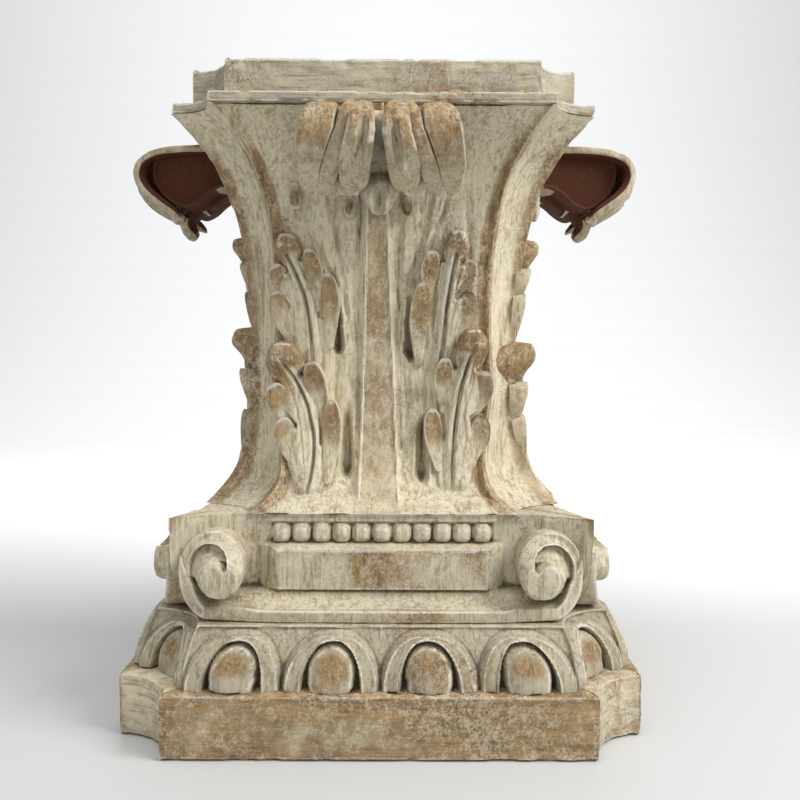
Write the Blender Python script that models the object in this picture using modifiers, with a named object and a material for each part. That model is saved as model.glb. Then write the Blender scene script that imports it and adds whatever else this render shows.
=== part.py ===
"""Carved wooden capital that stands as a pedestal.

Six layers stand on one another: a plinth, an egg-and-dart course, a course with
volutes, the waisted bell with its leaves, and two thin boards. Every layer has
four like sides, so one side is shaped and then turned about the middle.
"""

import math

import bmesh
import bpy
import numpy as np
from mathutils import Matrix, Vector

# Gap between two layers that rest on each other
SEAT_GAP = 0.0003

# Plinth
PLINTH_HALF = 0.196
PLINTH_HEIGHT = 0.0483
PLINTH_SCOOP = 0.0405
EDGE_WEAR = 0.0010

# Egg-and-dart course
EGG_LEDGE = 0.0100
EGG_COURSE_HEIGHT = 0.0422
EGG_COURSE_SLOPE = 0.0135
EGG_COUNT = 4
EGG_END_MARGIN = 0.0095
EGG_HALF_WIDTH = 0.0155
EGG_LENGTH = 0.0340
EGG_SWELL = 0.0075
ARCH_HEIGHT = 0.0385
ARCH_BAND = 0.0115
ARCH_PROUD = 0.0055
ARCH_GAP = 0.0030

# Volute course
VOLUTE_COURSE_HEIGHT = 0.0745
VOLUTE_COURSE_HALF = 0.1690
FILLET_HEIGHT = 0.0085
COVE_HEIGHT = 0.0090
COVE_DEPTH = 0.0180
PANEL_HEIGHT = 0.0345
PANEL_HALF_LENGTH = 0.0790
PANEL_PROUD = 0.0140
BEAD_COUNT = 11
BEAD_HEIGHT = 0.0155
BEAD_ROW_HALF = 0.0840
BEAD_SWELL = 0.0055
HORN_HALF = 0.1570
HORN_FOOT_RECESS = 0.0060
VOLUTE_RADIUS = 0.0290
VOLUTE_CENTRE = 0.1190
VOLUTE_DROP = 0.0360
VOLUTE_PROUD = 0.0300
VOLUTE_THICKNESS = 0.0320
VOLUTE_LEAN_DEG = 9.5
VOLUTE_GROOVE = 0.0060
VOLUTE_GROOVE_WIDTH = 0.0060
VOLUTE_EYE = 0.0125

# Bell
BELL_HEIGHT = 0.2988
BELL_WAIST_HALF = 0.1065
BELL_WAIST_SCOOP = 0.0200
BELL_WAIST_HEIGHT = 0.0960
BELL_TOP_SPREAD = 0.0270
BELL_LIP_SPREAD = 0.0260
BELL_FOOT_SPREAD = 0.0285
BELL_TOP_SCOOP = 0.0350
BELL_FOOT_SCOOP = 0.0540

# Carving on the bell's sides, from the middle of a side and from the bell's foot
LEAF_PROUD = 0.0230
LEAF_HOOD_RADIUS = 0.0120
LOWER_LEAF_TIP = (0.0740, 0.1350)
LOWER_LEAF_FOOT = (0.0540, 0.0130)
UPPER_LEAF_TIP = (0.0660, 0.2170)
UPPER_LEAF_FOOT = (0.0560, 0.1350)
LOBE_HALF_WIDTH = 0.0090
LOBE_LENGTH = 0.0420
LOBE_PROUD = 0.0150
SLOT_HALF_WIDTH = 0.0042
SLOT_DEPTH = 0.0120
PILASTER_PROUD = 0.0030
PILASTER_TOP_HALF = 0.0065
PILASTER_FOOT_HALF = 0.0170
CHANNEL_WIDTH = 0.0110
CHANNEL_DEPTH = 0.0060

# Leaf that curls out at the top of each side
CURL_HALF_WIDTH = 0.0600
CURL_REACH = 0.0920
CURL_THICKNESS = 0.0430
CURL_NOSE_DROP = 0.0190
CURL_TONGUE_DROP = 0.0180
CURL_TONGUE_HALF = 0.0250
CURL_SLIT_DEPTH = 0.0070
CURL_LOBES = 4
CURL_ROOT_DEPTH = 0.0300

# Boards on top
BOARD_HALF = 0.1586
BOARD_HEIGHT = 0.0083
BOARD_SCOOP = 0.0344
CAP_HALF = 0.1447
CAP_HEIGHT = 0.0264
CAP_SCOOP = 0.0299

# How finely the surfaces are built
SCOOP_STEPS = 6
SCOOP_SHARE = 0.10
EGG_TRIANGLES = 2050
BLOCK_TRIANGLES = 1300
VOLUTE_TRIANGLES = 110
BELL_TRIANGLES = 3200
CURL_TRIANGLES = 180

# Heights at which the layers begin
EGG_BASE = PLINTH_HEIGHT + SEAT_GAP
VOLUTE_BASE = EGG_BASE + EGG_COURSE_HEIGHT + SEAT_GAP
BELL_BASE = VOLUTE_BASE + VOLUTE_COURSE_HEIGHT + SEAT_GAP
BOARD_BASE = BELL_BASE + BELL_HEIGHT + SEAT_GAP
CAP_BASE = BOARD_BASE + BOARD_HEIGHT + SEAT_GAP

# Half width of the block behind the panel and the beads
BLOCK_HALF = VOLUTE_COURSE_HALF - COVE_DEPTH - PANEL_PROUD

# Limed wood, with brown showing where it is rubbed
LIMED_CREAM = (0.55, 0.50, 0.38)
RUBBED_BROWN = (0.34, 0.21, 0.10)
GREY_CREAM = (0.50, 0.46, 0.37)
DRY_ROUGHNESS = 0.85


def clear_scene():
    """Remove every object, so that the file holds only the model."""
    for item in list(bpy.data.objects):
        bpy.data.objects.remove(item, do_unlink=True)


def make_collection(name):
    """A collection of this name, linked to the scene."""
    collection = bpy.data.collections.new(name)
    bpy.context.scene.collection.children.link(collection)
    return collection


def wood(name, colour):
    """A dry wood material of one colour."""
    material = bpy.data.materials.new(name)
    material.use_nodes = True
    shader = material.node_tree.nodes["Principled BSDF"]
    shader.inputs["Base Color"].default_value = (*colour, 1.0)
    shader.inputs["Roughness"].default_value = DRY_ROUGHNESS
    shader.inputs["Metallic"].default_value = 0.0
    return material


def add_object(name, bm, collection):
    """Turn a bmesh into a named object."""
    mesh = bpy.data.meshes.new(name)
    bm.to_mesh(mesh)
    bm.free()
    item = bpy.data.objects.new(name, mesh)
    collection.objects.link(item)
    return item


def thin_out(item, triangles):
    """Keep about this many triangles, most of them where the carving turns."""
    item.data.calc_loop_triangles()
    modifier = item.modifiers.new("thin_out", "DECIMATE")
    modifier.decimate_type = "COLLAPSE"
    modifier.ratio = min(1.0, triangles / len(item.data.loop_triangles))


def unite(item, shapes):
    """Join closed shapes to the item, so that all of it is one solid."""
    for shape in shapes:
        modifier = item.modifiers.new("with_" + shape.name, "BOOLEAN")
        modifier.operation = "UNION"
        modifier.solver = "EXACT"
        modifier.object = shape
        shape.hide_render = True
        shape.display_type = "WIRE"


def ramp(value, low, high):
    """Smooth step from 0 at low to 1 at high."""
    t = np.clip((value - low) / (high - low), 0.0, 1.0)
    return t * t * (3.0 - 2.0 * t)


def scooped_outline(half, scoop):
    """Square outline whose corners are cut back in concave quarter rounds."""
    points = []
    for side in range(4):
        turn = Matrix.Rotation(side * math.pi / 2, 2)
        for step in range(SCOOP_STEPS + 1):
            angle = math.pi - math.pi / 2 * step / SCOOP_STEPS
            corner = Vector((half + scoop * math.cos(angle), -half + scoop * math.sin(angle)))
            points.append(turn @ corner)
    return points


def board(name, half, scoop, base, height, collection, material):
    """Flat board of the scooped outline, with slightly worn edges."""
    curve = bpy.data.curves.new(name, "CURVE")
    curve.dimensions = "2D"
    curve.fill_mode = "BOTH"
    curve.extrude = height / 2
    spline = curve.splines.new("POLY")
    outline = scooped_outline(half, scoop)
    spline.points.add(len(outline) - 1)
    for point, place in zip(spline.points, outline):
        point.co = (place.x, place.y, 0.0, 1.0)
    spline.use_cyclic_u = True
    curve.materials.append(material)
    item = bpy.data.objects.new(name, curve)
    item.location.z = base + height / 2
    collection.objects.link(item)
    weld = item.modifiers.new("weld", "WELD")
    weld.merge_threshold = 0.00001
    bevel = item.modifiers.new("worn_edges", "BEVEL")
    bevel.width = min(EDGE_WEAR, height / 5)
    bevel.segments = 1
    bevel.limit_method = "ANGLE"
    bevel.angle_limit = math.radians(60)
    return item


def scooped_side(u, half, scoop, proud):
    """Plan position of a side: u runs from one scoop's middle to the next."""
    bend = np.clip(np.minimum(u, 1.0 - u) / SCOOP_SHARE, 0.0, 1.0)
    angle = math.pi / 4 * (1.0 - bend)
    side = np.where(u < 0.5, -1.0, 1.0)
    along = np.clip((u - SCOOP_SHARE) / (1.0 - 2.0 * SCOOP_SHARE), 0.0, 1.0) * 2.0 - 1.0
    on_face = bend >= 1.0
    x_face = along * (half - scoop)
    x_scoop = side * (half - (scoop - proud) * np.cos(angle))
    y_scoop = -half + (scoop - proud) * np.sin(angle)
    x = np.where(on_face, x_face, x_scoop)
    y = np.where(on_face, -half - proud, y_scoop)
    return x, y


def carved_ring(name, columns, rows, surface, collection):
    """Closed layer: one side shaped by the surface function, turned four times."""
    bm = bmesh.new()
    bmesh.ops.create_grid(bm, x_segments=columns, y_segments=rows, size=0.5)
    places = np.array([vert.co for vert in bm.verts])
    low = places.min(axis=0)
    span = np.maximum(places.max(axis=0) - low, 1e-9)
    u, v = ((places - low) / span)[:, :2].T
    for vert, place in zip(bm.verts, np.stack(surface(u, v), axis=-1)):
        vert.co = place
    side = list(bm.verts) + list(bm.edges) + list(bm.faces)
    for quarter in range(1, 4):
        copy = bmesh.ops.duplicate(bm, geom=side)["geom"]
        verts = [part for part in copy if isinstance(part, bmesh.types.BMVert)]
        turn = Matrix.Rotation(quarter * math.pi / 2, 3, "Z")
        bmesh.ops.rotate(bm, verts=verts, cent=(0, 0, 0), matrix=turn)
    bmesh.ops.remove_doubles(bm, verts=bm.verts, dist=0.00001)
    rims = [edge for edge in bm.edges if edge.is_boundary]
    bmesh.ops.holes_fill(bm, edges=rims)
    bmesh.ops.recalc_face_normals(bm, faces=bm.faces)
    return add_object(name, bm, collection)


def egg_surface(u, v):
    """Sloping side with eggs under arches, and a narrow egg in each scoop."""
    foot_half = PLINTH_HALF - EGG_LEDGE
    height = v * EGG_COURSE_HEIGHT
    half = foot_half - EGG_COURSE_SLOPE * v ** 1.6
    face_half = foot_half - PLINTH_SCOOP
    along = (u - SCOOP_SHARE) / (1.0 - 2.0 * SCOOP_SHARE) * 2.0 - 1.0
    pitch = 2.0 * (face_half - EGG_END_MARGIN) / EGG_COUNT
    x = along * face_half
    row_half = pitch * EGG_COUNT / 2
    local = (x + row_half) % pitch - pitch / 2
    inside = np.abs(x) < row_half
    arch_half = (pitch - ARCH_GAP) / 2
    reach = ((np.abs(local) / arch_half) ** 2.4 + (height / ARCH_HEIGHT) ** 2.4) ** (1 / 2.4)
    band_half = ARCH_BAND / arch_half / 2
    band = np.sqrt(np.clip(1.0 - ((reach - 1.0 + band_half) / band_half) ** 2, 0.0, 1.0))
    egg = (local / EGG_HALF_WIDTH) ** 2 + ((height - EGG_LENGTH / 2) / (EGG_LENGTH / 2)) ** 2
    swell = np.sqrt(np.clip(1.0 - egg, 0.0, 1.0))
    face = np.where(inside, ARCH_PROUD * band + EGG_SWELL * swell, 0.0)
    turn = np.minimum(u, 1.0 - u) / SCOOP_SHARE
    narrow = turn ** 2 * 4.0 + ((height - EGG_LENGTH / 2) / (EGG_LENGTH / 2)) ** 2
    corner = EGG_SWELL * np.sqrt(np.clip(1.0 - narrow, 0.0, 1.0))
    proud = np.where(turn < 1.0, corner, face)
    plan_x, plan_y = scooped_side(u, half, PLINTH_SCOOP - (foot_half - half) * 0.3, proud)
    return plan_x, plan_y, EGG_BASE + height


def block_profile():
    """Heights and half widths of the volute course, from its foot to its top."""
    cove_top = FILLET_HEIGHT + COVE_HEIGHT
    panel_top = cove_top + PANEL_HEIGHT
    bead_top = panel_top + BEAD_HEIGHT
    stations = [(0.0, VOLUTE_COURSE_HALF), (FILLET_HEIGHT, VOLUTE_COURSE_HALF)]
    for step in range(1, 5):
        angle = math.pi / 2 * step / 4
        rise = COVE_HEIGHT * (1.0 - math.cos(angle))
        stations.append((FILLET_HEIGHT + rise, VOLUTE_COURSE_HALF - COVE_DEPTH * math.sin(angle)))
    stations.append((cove_top + SEAT_GAP, BLOCK_HALF))
    stations.append((bead_top, BLOCK_HALF))
    stations.append((bead_top + SEAT_GAP, BLOCK_HALF + BEAD_SWELL / 2))
    stations.append((VOLUTE_COURSE_HEIGHT, BLOCK_HALF + BEAD_SWELL / 2))
    return np.array(stations).T


def block_surface(u, v):
    """Side between two pointed corners, with its panel and its row of beads."""
    heights, halves = block_profile()
    height = v * VOLUTE_COURSE_HEIGHT
    middle = np.interp(height, heights, halves)
    cove_top = FILLET_HEIGHT + COVE_HEIGHT
    tip = HORN_HALF - HORN_FOOT_RECESS * np.clip(1.0 - height / cove_top, 0.0, 1.0) ** 2
    x = (u * 2.0 - 1.0) * tip
    out = np.clip((np.abs(x) - PANEL_HALF_LENGTH) / (tip - PANEL_HALF_LENGTH), 0.0, 1.0)
    panel_top = cove_top + PANEL_HEIGHT
    on_panel = (np.abs(x) <= PANEL_HALF_LENGTH) & (height > cove_top) & (height < panel_top)
    half = middle + (tip - middle) * out ** 2
    half = half + np.where(on_panel, PANEL_PROUD, 0.0)
    pitch = 2.0 * BEAD_ROW_HALF / BEAD_COUNT
    local = ((x + BEAD_ROW_HALF) % pitch - pitch / 2) / (pitch / 2)
    level = (height - panel_top - BEAD_HEIGHT / 2) / (BEAD_HEIGHT / 2)
    bead = np.clip(1.0 - np.abs(local) ** 3 - np.abs(level) ** 3, 0.0, 1.0)
    bead = np.where(np.abs(x) < BEAD_ROW_HALF, bead, 0.0)
    half = half + BEAD_SWELL * np.sqrt(bead)
    return x, -half, VOLUTE_BASE + height


def make_volute(name, hand, quarter, collection):
    """One scroll: a disc with a spiral groove that runs in to its eye."""
    bm = bmesh.new()
    bmesh.ops.create_grid(bm, x_segments=32, y_segments=16, size=0.5)
    places = np.array([vert.co for vert in bm.verts])
    u, v = (places[:, :2] - places[:, :2].min(axis=0)).T
    face_share = 0.8
    angle = u * 2.0 * math.pi
    radius = VOLUTE_RADIUS * np.clip(v / face_share, 0.0, 1.0)
    depth = VOLUTE_THICKNESS * np.clip((v - face_share) / (1.0 - face_share), 0.0, 1.0)
    coil = VOLUTE_EYE + (VOLUTE_RADIUS - VOLUTE_EYE) * (0.15 + 0.55 * u)
    groove = np.clip(1.0 - ((radius - coil) / (VOLUTE_GROOVE_WIDTH / 2)) ** 2, 0.0, 1.0)
    depth = depth + VOLUTE_GROOVE * groove * ramp(u, 0.0, 0.2) * ramp(1.0 - u, 0.0, 0.2)
    for vert, turn, reach, back in zip(bm.verts, angle, radius, depth):
        vert.co = (hand * reach * math.sin(turn), back, reach * math.cos(turn))
    bmesh.ops.remove_doubles(bm, verts=bm.verts, dist=0.00001)
    bmesh.ops.holes_fill(bm, edges=[edge for edge in bm.edges if edge.is_boundary])
    bmesh.ops.recalc_face_normals(bm, faces=bm.faces)
    item = add_object(name, bm, collection)
    thin_out(item, VOLUTE_TRIANGLES)
    front = BLOCK_HALF + VOLUTE_PROUD
    middle = VOLUTE_BASE + VOLUTE_COURSE_HEIGHT - VOLUTE_DROP
    place = Matrix.Translation((hand * VOLUTE_CENTRE, -front, middle))
    lean = Matrix.Rotation(math.radians(VOLUTE_LEAN_DEG), 4, "X")
    item.matrix_world = Matrix.Rotation(quarter * math.pi / 2, 4, "Z") @ place @ lean
    return item


def bell_size(height):
    """Half width and scoop radius of the bell at a height above its foot."""
    up = np.clip((height - BELL_WAIST_HEIGHT) / (BELL_HEIGHT - BELL_WAIST_HEIGHT), 0.0, 1.0)
    down = np.clip((BELL_WAIST_HEIGHT - height) / BELL_WAIST_HEIGHT, 0.0, 1.0)
    half = BELL_WAIST_HALF + BELL_TOP_SPREAD * up ** 2.2 + BELL_LIP_SPREAD * up ** 6.5
    half = half + BELL_FOOT_SPREAD * down ** 2
    scoop = BELL_WAIST_SCOOP + (BELL_TOP_SCOOP - BELL_WAIST_SCOOP) * up
    scoop = scoop + (BELL_FOOT_SCOOP - BELL_WAIST_SCOOP) * down ** 1.4
    return half, scoop


def lobe(x, height, foot, tip, half_width):
    """Long rounded form from its foot to its tip, 0 outside it and 1 on its crest."""
    run = np.array(tip) - np.array(foot)
    length = math.hypot(*run)
    along = ((x - foot[0]) * run[0] + (height - foot[1]) * run[1]) / length ** 2
    across = ((x - foot[0]) * run[1] - (height - foot[1]) * run[0]) / length
    width = half_width * np.sqrt(np.clip(along * (1.0 - along) * 4.0, 0.0, 1.0)) ** 0.8
    shape = 1.0 - (across / np.maximum(width, 1e-6)) ** 2
    return np.sqrt(np.clip(shape, 0.0, 1.0)) * np.clip(along, 0.0, 1.0) ** 0.5


def half_leaf(x, height, foot, tip):
    """Relief of one leaf: its midrib, its hooded tip and the lobes beside it."""
    rib = lobe(x, height, foot, tip, LOBE_HALF_WIDTH)
    crown = (tip[0], tip[1] - LEAF_HOOD_RADIUS)
    hood = (x - crown[0]) ** 2 + (height - crown[1]) ** 2
    hood = np.sqrt(np.clip(1.0 - hood / LEAF_HOOD_RADIUS ** 2, 0.0, 1.0))
    relief = np.maximum(rib * LOBE_PROUD * 0.7, hood * LEAF_PROUD)
    rise = tip[1] - foot[1]
    for step, share in enumerate((0.80, 0.48)):
        reach = LOBE_HALF_WIDTH * (1.9 + 1.5 * step)
        top = foot[1] + rise * share
        inner_tip = (tip[0] - reach, top)
        inner_foot = (foot[0] - reach * 0.55, top - LOBE_LENGTH)
        inner = lobe(x, height, inner_foot, inner_tip, LOBE_HALF_WIDTH)
        outer_tip = (tip[0] + LOBE_HALF_WIDTH * 0.5 * (1 - step), top - LOBE_LENGTH * 0.35)
        outer_foot = (foot[0] + LOBE_HALF_WIDTH * 0.6, top - LOBE_LENGTH * 1.1)
        outer = lobe(x, height, outer_foot, outer_tip, LOBE_HALF_WIDTH)
        relief = np.maximum(relief, np.maximum(inner, outer) * LOBE_PROUD)
    return relief


def bell_surface(u, v):
    """Side of the bell with its pilaster, channels, slots and four half leaves."""
    height = v * BELL_HEIGHT
    half, scoop = bell_size(height)
    face_half = half - scoop
    x = np.clip((u - SCOOP_SHARE) / (1.0 - 2.0 * SCOOP_SHARE), 0.0, 1.0)
    x = (x * 2.0 - 1.0) * face_half
    off = np.abs(x)
    leaves = half_leaf(off, height, LOWER_LEAF_FOOT, LOWER_LEAF_TIP)
    leaves = np.maximum(leaves, half_leaf(off, height, UPPER_LEAF_FOOT, UPPER_LEAF_TIP))
    pilaster_half = PILASTER_FOOT_HALF + (PILASTER_TOP_HALF - PILASTER_FOOT_HALF) * v
    beside = (off - pilaster_half) / CHANNEL_WIDTH
    channel = np.where((beside > 0) & (beside < 1), np.sin(np.clip(beside, 0, 1) * math.pi), 0.0)
    fade = ramp(v, 0.03, 0.12)
    slots = np.zeros_like(x)
    for foot in (LOWER_LEAF_FOOT, UPPER_LEAF_FOOT):
        middle = foot[0] - 2.6 * LOBE_HALF_WIDTH
        low = (middle, foot[1] + LOBE_LENGTH * 0.1)
        high = (middle, foot[1] + LOBE_LENGTH * 1.2)
        slots = np.maximum(slots, lobe(off, height, high, low, SLOT_HALF_WIDTH))
    relief = np.where(beside <= 0, PILASTER_PROUD, -CHANNEL_DEPTH * channel) * fade
    relief = np.where(leaves > 0, np.maximum(leaves, relief), relief - SLOT_DEPTH * slots)
    relief = relief * ramp(face_half - off, 0.0, LOBE_HALF_WIDTH * 0.5)
    on_face = np.minimum(u, 1.0 - u) >= SCOOP_SHARE
    plan_x, plan_y = scooped_side(u, half, scoop, np.where(on_face, relief, 0.0))
    return plan_x, plan_y, BELL_BASE + height


def curl_profile(slit, tongue):
    """Side view of the curled leaf, as distances out from the bell's lip and down from its top."""
    root = -CURL_ROOT_DEPTH
    nose = CURL_REACH - CURL_SLIT_DEPTH * slit
    cut = CURL_SLIT_DEPTH * slit
    thick = CURL_THICKNESS
    tip = CURL_TONGUE_DROP * tongue
    return [
        (root, SEAT_GAP),
        (nose * 0.28, SEAT_GAP + cut * 0.5),
        (nose * 0.74, SEAT_GAP + cut),
        (nose * 0.92, CURL_NOSE_DROP * 0.30 + cut * 0.5),
        (nose, CURL_NOSE_DROP),
        (nose * 0.98, CURL_NOSE_DROP + thick * 0.38),
        (nose * 0.89, thick * 1.18),
        (nose * 0.78, thick * 1.36 - cut),
        (nose * 0.66, thick * 1.38 - cut + tip * 0.2),
        (nose * 0.54, thick * 1.36 - cut + tip * 0.8),
        (nose * 0.46, thick * 1.38 - cut + tip),
        (nose * 0.40, thick * 1.30 - cut + tip * 0.7),
        (nose * 0.36, thick * 1.16),
        (nose * 0.26, thick),
        (root, thick),
    ]


def make_curl(quarter, collection):
    """Leaf that rolls out of the bell and down, with lobes parted by slits."""
    bm = bmesh.new()
    steps = CURL_LOBES * 6
    top = BELL_BASE + BELL_HEIGHT
    lip, _ = bell_size(np.array([BELL_HEIGHT - CURL_THICKNESS]))
    rings = []
    for step in range(steps + 1):
        share = step / steps * 2.0 - 1.0
        x = share * CURL_HALF_WIDTH
        wave = abs(math.cos(math.pi * step / steps * CURL_LOBES))
        slit = wave ** 4 if 0 < step < steps else 1.0
        tongue = float(ramp(CURL_TONGUE_HALF - abs(x), 0.0, CURL_TONGUE_HALF * 0.8))
        ring = []
        for out, drop in curl_profile(slit, tongue):
            gather = 1.0 - 0.25 * min(1.0, max(0.0, drop / (2.0 * CURL_THICKNESS)))
            ring.append(bm.verts.new((x * gather, -(float(lip[0]) + out), top - drop)))
        rings.append(ring)
    for left, right in zip(rings, rings[1:]):
        for index in range(len(left)):
            after = (index + 1) % len(left)
            bm.faces.new((left[index], right[index], right[after], left[after]))
    bm.faces.new(rings[0])
    bm.faces.new(rings[-1])
    bmesh.ops.recalc_face_normals(bm, faces=bm.faces)
    turn = Matrix.Rotation(quarter * math.pi / 2, 3, "Z")
    bmesh.ops.rotate(bm, verts=bm.verts, cent=(0, 0, 0), matrix=turn)
    item = add_object(f"curl_{quarter}", bm, collection)
    thin_out(item, CURL_TRIANGLES)
    return item


def make_egg_course(collection):
    """Egg-and-dart course on the plinth."""
    item = carved_ring("egg_course", 130, 26, egg_surface, collection)
    item.data.materials.append(wood("egg_wood", LIMED_CREAM))
    thin_out(item, EGG_TRIANGLES)


def make_volute_course(collection, tools):
    """Block with pointed corners, panels and beads, and two volutes a side."""
    item = carved_ring("volute_course", 150, 60, block_surface, collection)
    item.data.materials.append(wood("volute_wood", LIMED_CREAM))
    thin_out(item, BLOCK_TRIANGLES)
    volutes = []
    for quarter in range(4):
        for hand in (-1, 1):
            name = f"volute_{quarter}_{'left' if hand < 0 else 'right'}"
            volutes.append(make_volute(name, hand, quarter, tools))
    unite(item, volutes)


def make_bell(collection, tools):
    """Waisted body with scooped corners, half leaves and four curled leaves."""
    item = carved_ring("bell", 110, 120, bell_surface, collection)
    item.data.materials.append(wood("bell_wood", LIMED_CREAM))
    thin_out(item, BELL_TRIANGLES)
    unite(item, [make_curl(quarter, tools) for quarter in range(4)])


def main():
    """Build the capital from the floor up."""
    clear_scene()
    parts = make_collection("carved_capital")
    tools = make_collection("cutters")
    plinth_wood = wood("plinth_wood", RUBBED_BROWN)
    board_wood = wood("board_wood", GREY_CREAM)
    board("plinth", PLINTH_HALF, PLINTH_SCOOP, 0.0, PLINTH_HEIGHT, parts, plinth_wood)
    make_egg_course(parts)
    make_volute_course(parts, tools)
    make_bell(parts, tools)
    board("abacus_board", BOARD_HALF, BOARD_SCOOP, BOARD_BASE, BOARD_HEIGHT, parts, board_wood)
    board("abacus_cap", CAP_HALF, CAP_SCOOP, CAP_BASE, CAP_HEIGHT, parts, board_wood)


main()
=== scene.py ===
"""Carved wooden capital, limed and rubbed back, standing on its plinth in a pale studio.

Each layer of the frame is dressed with a finely carved piece of the same form.
"""

import math

import bmesh
import bpy
import numpy as np
from bpy.props import FloatProperty, FloatVectorProperty, PointerProperty
from bpy.types import Operator, Panel, PropertyGroup
from mathutils import Matrix, Vector, noise


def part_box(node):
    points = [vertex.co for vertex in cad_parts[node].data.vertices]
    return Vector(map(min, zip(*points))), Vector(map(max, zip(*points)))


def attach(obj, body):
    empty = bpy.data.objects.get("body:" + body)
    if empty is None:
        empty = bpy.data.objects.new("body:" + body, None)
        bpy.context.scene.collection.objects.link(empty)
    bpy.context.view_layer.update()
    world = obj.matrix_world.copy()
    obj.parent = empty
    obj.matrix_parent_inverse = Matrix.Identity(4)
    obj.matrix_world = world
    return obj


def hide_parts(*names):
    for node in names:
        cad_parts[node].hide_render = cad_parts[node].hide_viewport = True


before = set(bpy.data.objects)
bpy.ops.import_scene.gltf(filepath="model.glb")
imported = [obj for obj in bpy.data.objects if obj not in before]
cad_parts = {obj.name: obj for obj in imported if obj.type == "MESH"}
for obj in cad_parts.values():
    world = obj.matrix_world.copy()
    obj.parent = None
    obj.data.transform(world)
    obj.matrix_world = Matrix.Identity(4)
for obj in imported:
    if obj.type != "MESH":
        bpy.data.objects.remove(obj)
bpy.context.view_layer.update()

bl_info = {
    "name": "Carved Capital",
    "version": (1, 0, 0),
    "blender": (4, 5, 0),
    "location": "3D View > Sidebar > Capital",
    "description": "Dresses a carved, limed wooden capital and sets up its studio",
    "category": "Object",
}

ROOT = "root"

# Layers, measured on the frame
PLINTH_LOW, PLINTH_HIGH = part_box("plinth")
EGG_LOW, EGG_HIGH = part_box("egg_course")
BLOCK_LOW, BLOCK_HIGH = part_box("volute_course")
BELL_LOW, BELL_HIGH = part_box("bell")
BOARD_LOW, BOARD_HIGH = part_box("abacus_board")
CAP_LOW, CAP_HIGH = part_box("abacus_cap")

# Scoops cut from the corners of the flat layers
PLINTH_SCOOP = 0.0405
BOARD_SCOOP = 0.0344
CAP_SCOOP = 0.0299

# Wear of the boards' edges
PLINTH_WEAR = 0.0016
BOARD_WEAR = 0.0010
CAP_WEAR = 0.0012

# Egg course
EGG_LEDGE = 0.0100
EGG_COURSE_SLOPE = 0.0135
EGG_COUNT = 4
EGG_END_MARGIN = 0.0010
EGG_SCOOP_EXTRA = 0.0030
EGG_WIDEST = 0.0120
EGG_CROWN = 0.0188
ARCH_HEIGHT = 0.0385
ARCH_GAP = 0.0022
ARCH_PIT = 0.0060
SPANDREL_DEPTH = 0.0024
DART_HALF = 0.0011
DART_PROUD = 0.0014
CORNER_ARCH_HALF = 0.0290
CORNER_SPREAD = 0.0300

# Volute course
COURSE_HALF = 0.1690
FILLET_HEIGHT = 0.0085
COVE_HEIGHT = 0.0090
COVE_DEPTH = 0.0180
PANEL_HEIGHT = 0.0345
PANEL_HALF_LENGTH = 0.0790
PANEL_PROUD = 0.0140
BEAD_COUNT = 11
BEAD_HEIGHT = 0.0155
BEAD_ROW_HALF = 0.0840
HORN_HALF = 0.1570
HORN_UNDERCUT = 0.0160
HORN_TAPER = 0.0070
BLOCK_HALF = COURSE_HALF - COVE_DEPTH - PANEL_PROUD
LIP_FOOT = 0.0030
LIP_TOP = 0.0025

# Bell
WAIST_HALF = 0.1065
WAIST_SCOOP = 0.0200
WAIST_HEIGHT = 0.0960
TOP_SPREAD = 0.0270
LIP_SPREAD = 0.0260
FOOT_SPREAD = 0.0285
TOP_SCOOP = 0.0350
FOOT_SCOOP = 0.0540
FOOT_FLARE = 0.0070
FOOT_FLARE_SCOOP = 0.0400
FOOT_FLARE_HEIGHT = 0.0340
SCOOP_SHARE = 0.10
BELL_SCOOP_SHARE = 0.085
PILASTER_TOP_HALF = 0.0066
PILASTER_TOP_MIDDLE = -0.0054
PILASTER_FOOT_MIDDLE = -0.0030
PILASTER_FOOT_HALF = 0.0170
PILASTER_SINK = 0.0008
PILASTER_EDGE = 0.0020
CHANNEL_WIDTH = 0.0110
CHANNEL_DEPTH = 0.0010
FLUTE_PAIRS = 4.5
FLUTE_PROUD = 0.0032
LINE_DEPTH = 0.0014
SLOT_DEPTH = 0.0110
SLOT_BANK = 0.0016
APRON_LOW = 0.0075
APRON_HIGH = 0.0125
GROUND_SINK = 0.0030

# Weathering, with dirt and painted shade in hollows: noise per metre, and the bend, hollow and height that
# count in full
BROAD_NOISE = 42.0
SMALL_NOISE = 130.0
EDGE_BEND = 0.0004
HOLLOW_DEPTH = 0.0050
PROUD_HEIGHT = 0.0040
SHARP_ANGLE = 38.0

# Studio: floor swept up behind, camera, and lights as place, aim, size and power
FLOOR_HALF = 6.0
SWEEP_START = 1.5
SWEEP_RADIUS = 1.8
# Floor colours: painted shading, darker in front and lighter towards the sweep behind
FLOOR_NEAR_SHADED = (0.56, 0.562, 0.56)
FLOOR_FAR_LIT = (0.79, 0.793, 0.795)
WORLD_COLOUR = (0.90, 0.91, 0.92, 1.0)
WORLD_STRENGTH = 0.52
CAMERA_PLACE = (0.0104, -0.775, 0.300)
CAMERA_DROP = 4.3
CAMERA_YAW = -0.26
CAMERA_ROLL = 0.28
CAMERA_FOCAL_PIXELS = 850.0
PICTURE_PIXELS = 800.0
MIDDLE = (0.0, 0.0, 0.25)
LIGHTS = {
    "key_right": ((1.35, -0.75, 1.55), MIDDLE, 0.9, 36.0),
    "overhead": ((-0.15, -0.35, 1.9), MIDDLE, 1.1, 14.0),
    "front_fill": ((-1.0, -1.9, 0.8), MIDDLE, 1.4, 3.0),
    "backdrop_wash": ((0.0, 0.9, 1.9), (0.0, 3.2, 0.9), 3.5, 50.0),
}


def length_property(name, description, default, low, high):
    """A length that a user can change."""
    return FloatProperty(
        name=name, description=description, default=default, min=low, max=high, unit="LENGTH")


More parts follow.
